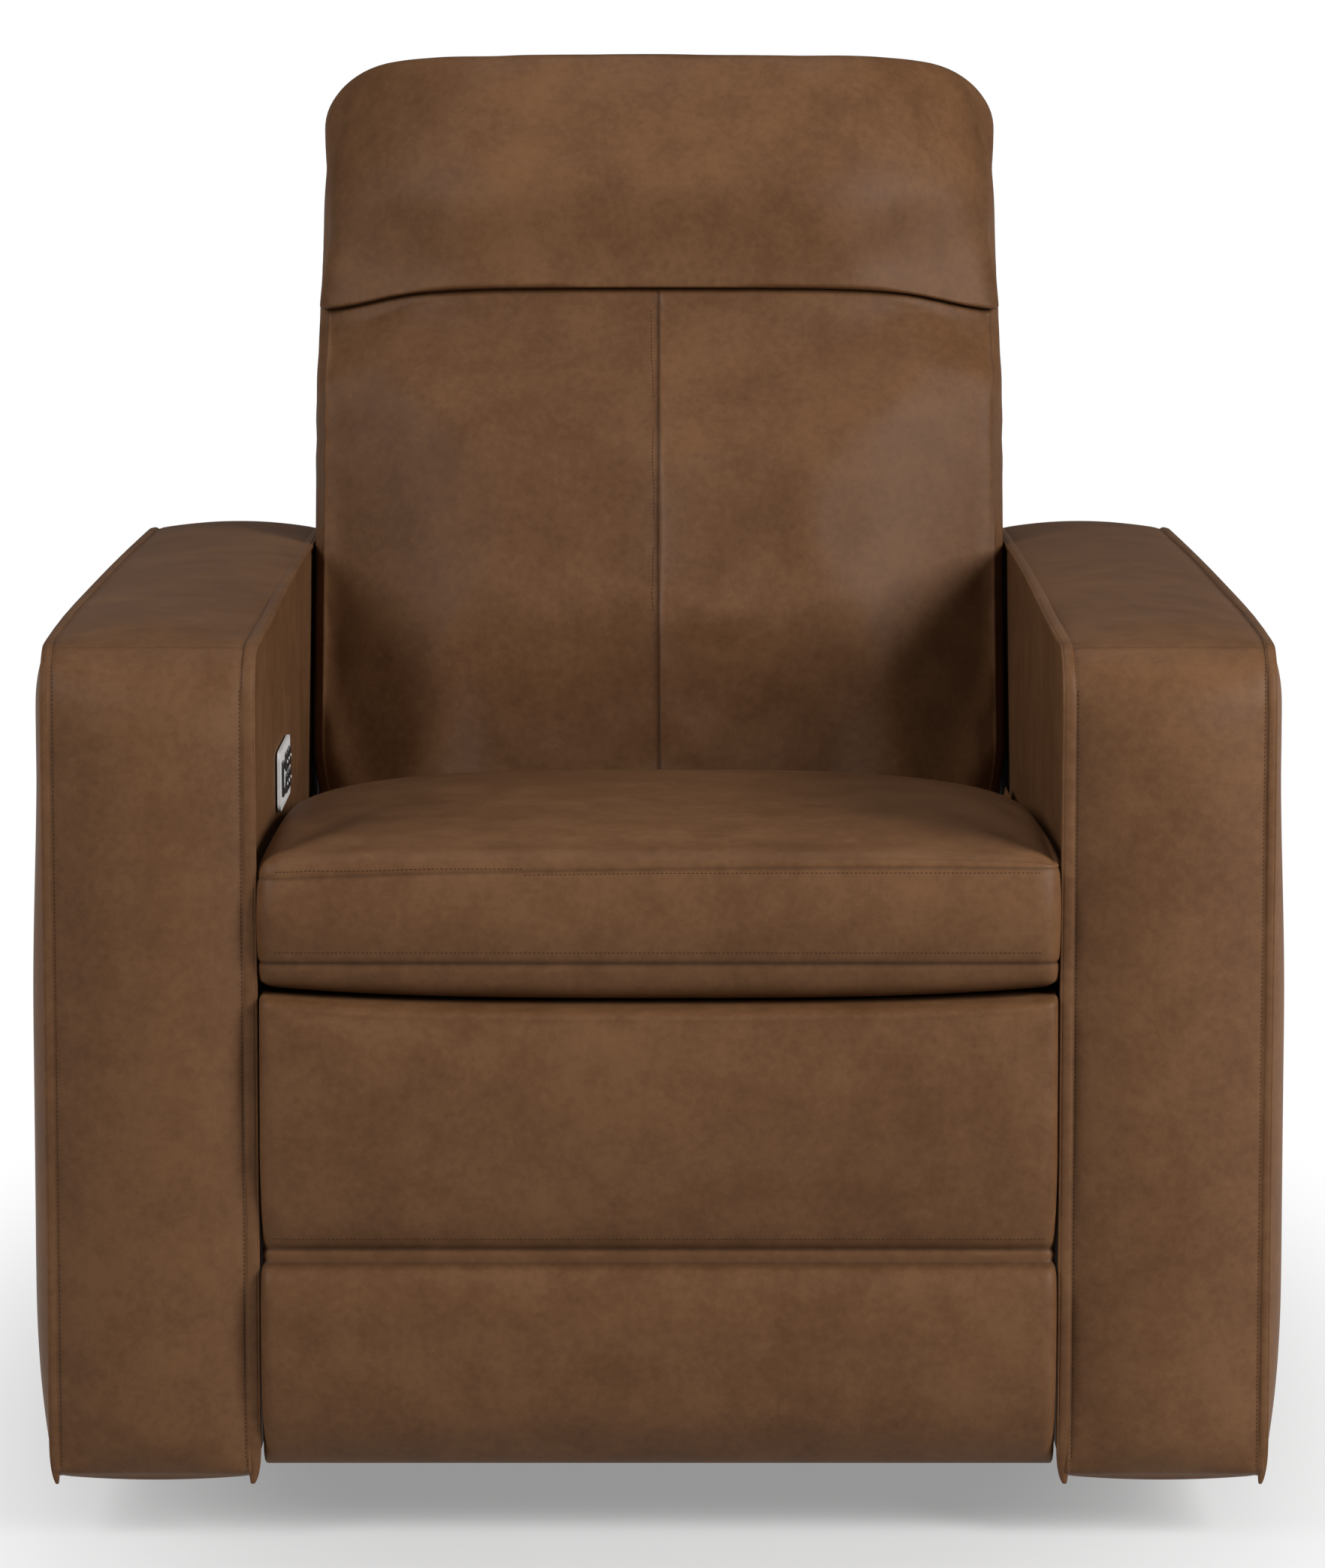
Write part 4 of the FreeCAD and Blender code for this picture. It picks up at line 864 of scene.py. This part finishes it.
def head_keep(piece):
    """Keeps the headrest outside the roll that it turns on, and inside its room."""
    for v in piece.data.vertices:
        x, n, t = to_hinge(v.co)
        high, low = math.hypot(n - pivot_n, t - pivot_t), head_roll(x) + 0.0006
        if high < low:
            n, t = (n - pivot_n) * low / high + pivot_n, (t - pivot_t) * low / high + pivot_t
        v.co = from_hinge(min(max(x, -0.2885), 0.2885), min(max(n, -0.150), 0.092), t)
    piece.data.update()


head, flat, held = upholster("headrest_leather_pillow", head_block, head_place, head_sewn, leather_head)
stuff(head, held, 0.7, 0.006, slack=0.005)
head_keep(head)
gusset = [k for k, p in enumerate(flat) if near(abs(p.x), head_half) and near(p.y, head_deep)]
# Pressed gusset seams; the last number is the painted shade darkening their crease.
crease(head, [(gusset, 0.0012, 0.2)])
soften(head)
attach(head, "headrest")
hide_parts("headrest_cushion")

# Control plate inside the left arm: a satin silver plate round seven dark keys, each with a small raised
# pale mark, which on the home key is a long thin bar.
silver, shader, spot = new_finish("satin_silver", stretch=(1.0, 6.0, 60.0))
brushed = spot.noise(40.0, 3.0)
spot.feed(shader, {"Base Color": brushed.blend((0.66, 0.66, 0.65, 1), (0.80, 0.80, 0.79, 1)),
                   "Roughness": 0.36 + 0.2 * brushed})
cover(silver, "control_bezel")
glossy, shader, spot = new_finish("key_plastic")
haze = spot.noise(90.0, 2.0)
spot.feed(shader, {"Base Color": haze.blend((0.012, 0.012, 0.013, 1), (0.030, 0.030, 0.032, 1)),
                   "Roughness": 0.22 + 0.12 * haze})
pale, shader, spot = new_finish("pale_mark")
speck = spot.noise(700.0, 2.0)
spot.feed(shader, {"Base Color": speck.blend((0.55, 0.55, 0.54, 1), (0.70, 0.70, 0.69, 1)),
                   "Roughness": 0.4 + 0.1 * speck})
for key in ("headrest_up_key", "recline_key", "footrest_open_key", "headrest_down_key", "upright_key",
            "footrest_close_key", "home_key"):
    cover(glossy, key)
    low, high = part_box(key)
    bm = bmesh.new()
    face = Matrix.Translation((high[0], (low[1] + high[1]) / 2, (low[2] + high[2]) / 2))
    size = (0.0006, 0.0011, 0.008) if key == "home_key" else (0.0006, 0.0016, 0.0016)
    bmesh.ops.create_icosphere(bm, subdivisions=2, radius=1.0,
                               matrix=face @ Matrix.Diagonal((*size, 1.0)))
    mark = new_piece(key + "_mark", bm, pale)
    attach(mark, key)

# Studio: a white floor that fades into a white surround, two tall softboxes at the sides, a
# broad weak light in front and another overhead.
ground = bmesh.new()
bmesh.ops.create_grid(ground, x_segments=2, y_segments=2, size=6.0)
floor_paint, shader, spot = new_finish("white_floor", stretch=(1.55, 0.8, 1.0))
floor_mesh = bpy.data.meshes.new("studio_floor")
ground.to_mesh(floor_mesh)
ground.free()
floor = bpy.data.objects.new("studio_floor", floor_mesh)
scene.collection.objects.link(floor)
floor_mesh.materials.append(floor_paint)
spot.feed(shader, {"Base Color": (0.62, 0.62, 0.62, 1), "Roughness": 0.9, "Specular IOR Level": 0.0})
far = spot.node("ShaderNodeVectorMath", {"operation": "LENGTH"}, {0: spot}, out=1)
fade = spot.node("ShaderNodeMapRange", {"interpolation_type": "SMOOTHSTEP"},
                 {"Value": far, "From Min": 0.42, "From Max": 1.15})


def shown(wire, *kinds):
    """One for rays of these kinds, which show a surface, and nought for those that light other things."""
    path = wire.tree.nodes.new("ShaderNodeLightPath")
    return sum(Wire(wire.tree, path.outputs["Is %s Ray" % kind]) for kind in kinds)


white = spot.node("ShaderNodeEmission", {}, {"Color": (1, 1, 1, 1), "Strength": 1.0})
seen = shown(spot, "Camera", "Glossy", "Transmission") * (0.30 + 0.70 * fade)
mixed = spot.node("ShaderNodeMixShader", {}, {0: seen, 1: Wire(spot.tree, shader.outputs[0]), 2: white})
spot.feed(spot.tree.nodes["Material Output"], {"Surface": mixed})

world = bpy.data.worlds.new("white_surround")
scene.world = world
world.use_nodes = True
air = Wire(world.node_tree)
sky = world.node_tree.nodes["Background"]
sky.inputs["Color"].default_value = (1, 1, 1, 1)
rise = air.node("ShaderNodeSeparateXYZ", {}, {0: air.node("ShaderNodeTexCoord")}, out=2)
low_sky = air.node("ShaderNodeMapRange", {"interpolation_type": "SMOOTHSTEP"},
                   {"Value": rise, "From Min": 0.02, "From Max": 0.26, "To Min": 0.6, "To Max": 0.05})
eye, gloss = shown(air, "Camera", "Transmission"), shown(air, "Glossy")
air.feed(sky, {"Strength": 0.06 + 0.94 * (eye + gloss * low_sky)})


def softbox(name, place, aim, size, power):
    """A rectangular lamp turned to a point of the chair."""
    lamp = bpy.data.lights.new(name, "AREA")
    lamp.shape = "RECTANGLE"
    lamp.size, lamp.size_y = size
    lamp.energy = power
    box = bpy.data.objects.new(name, lamp)
    box.location = place
    box.rotation_euler = (Vector(aim) - Vector(place)).to_track_quat("-Z", "Y").to_euler()
    scene.collection.objects.link(box)


softbox("left_softbox", (-2.19, -1.71, 2.18), (0, 0, 0.6), (1.2, 1.5), 50)
softbox("right_softbox", (2.35, -1.83, 1.77), (0, 0, 0.6), (1.2, 1.5), 106)
softbox("front_fill", (0.0, -3.6, 3.0), (0, 0, 0.5), (2.4, 1.6), 6)
softbox("top_softbox", (0.0, 0.3, 3.0), (0, 0, 0.5), (1.4, 1.2), 13)

# Camera: in front of the chair at head height, tipped a little down, with a long lens.
lens = bpy.data.cameras.new("front_camera")
lens.sensor_width = 24.0
lens.lens = 77.4
lens.shift_y = -0.17
camera = bpy.data.objects.new("front_camera", lens)
camera.location = (0.0027, -3.971, 1.1082)
camera.rotation_euler = (math.radians(90.0 - 6.0), 0.0, 0.0)
scene.collection.objects.link(camera)
scene.camera = camera
scene.view_settings.view_transform = "Standard"
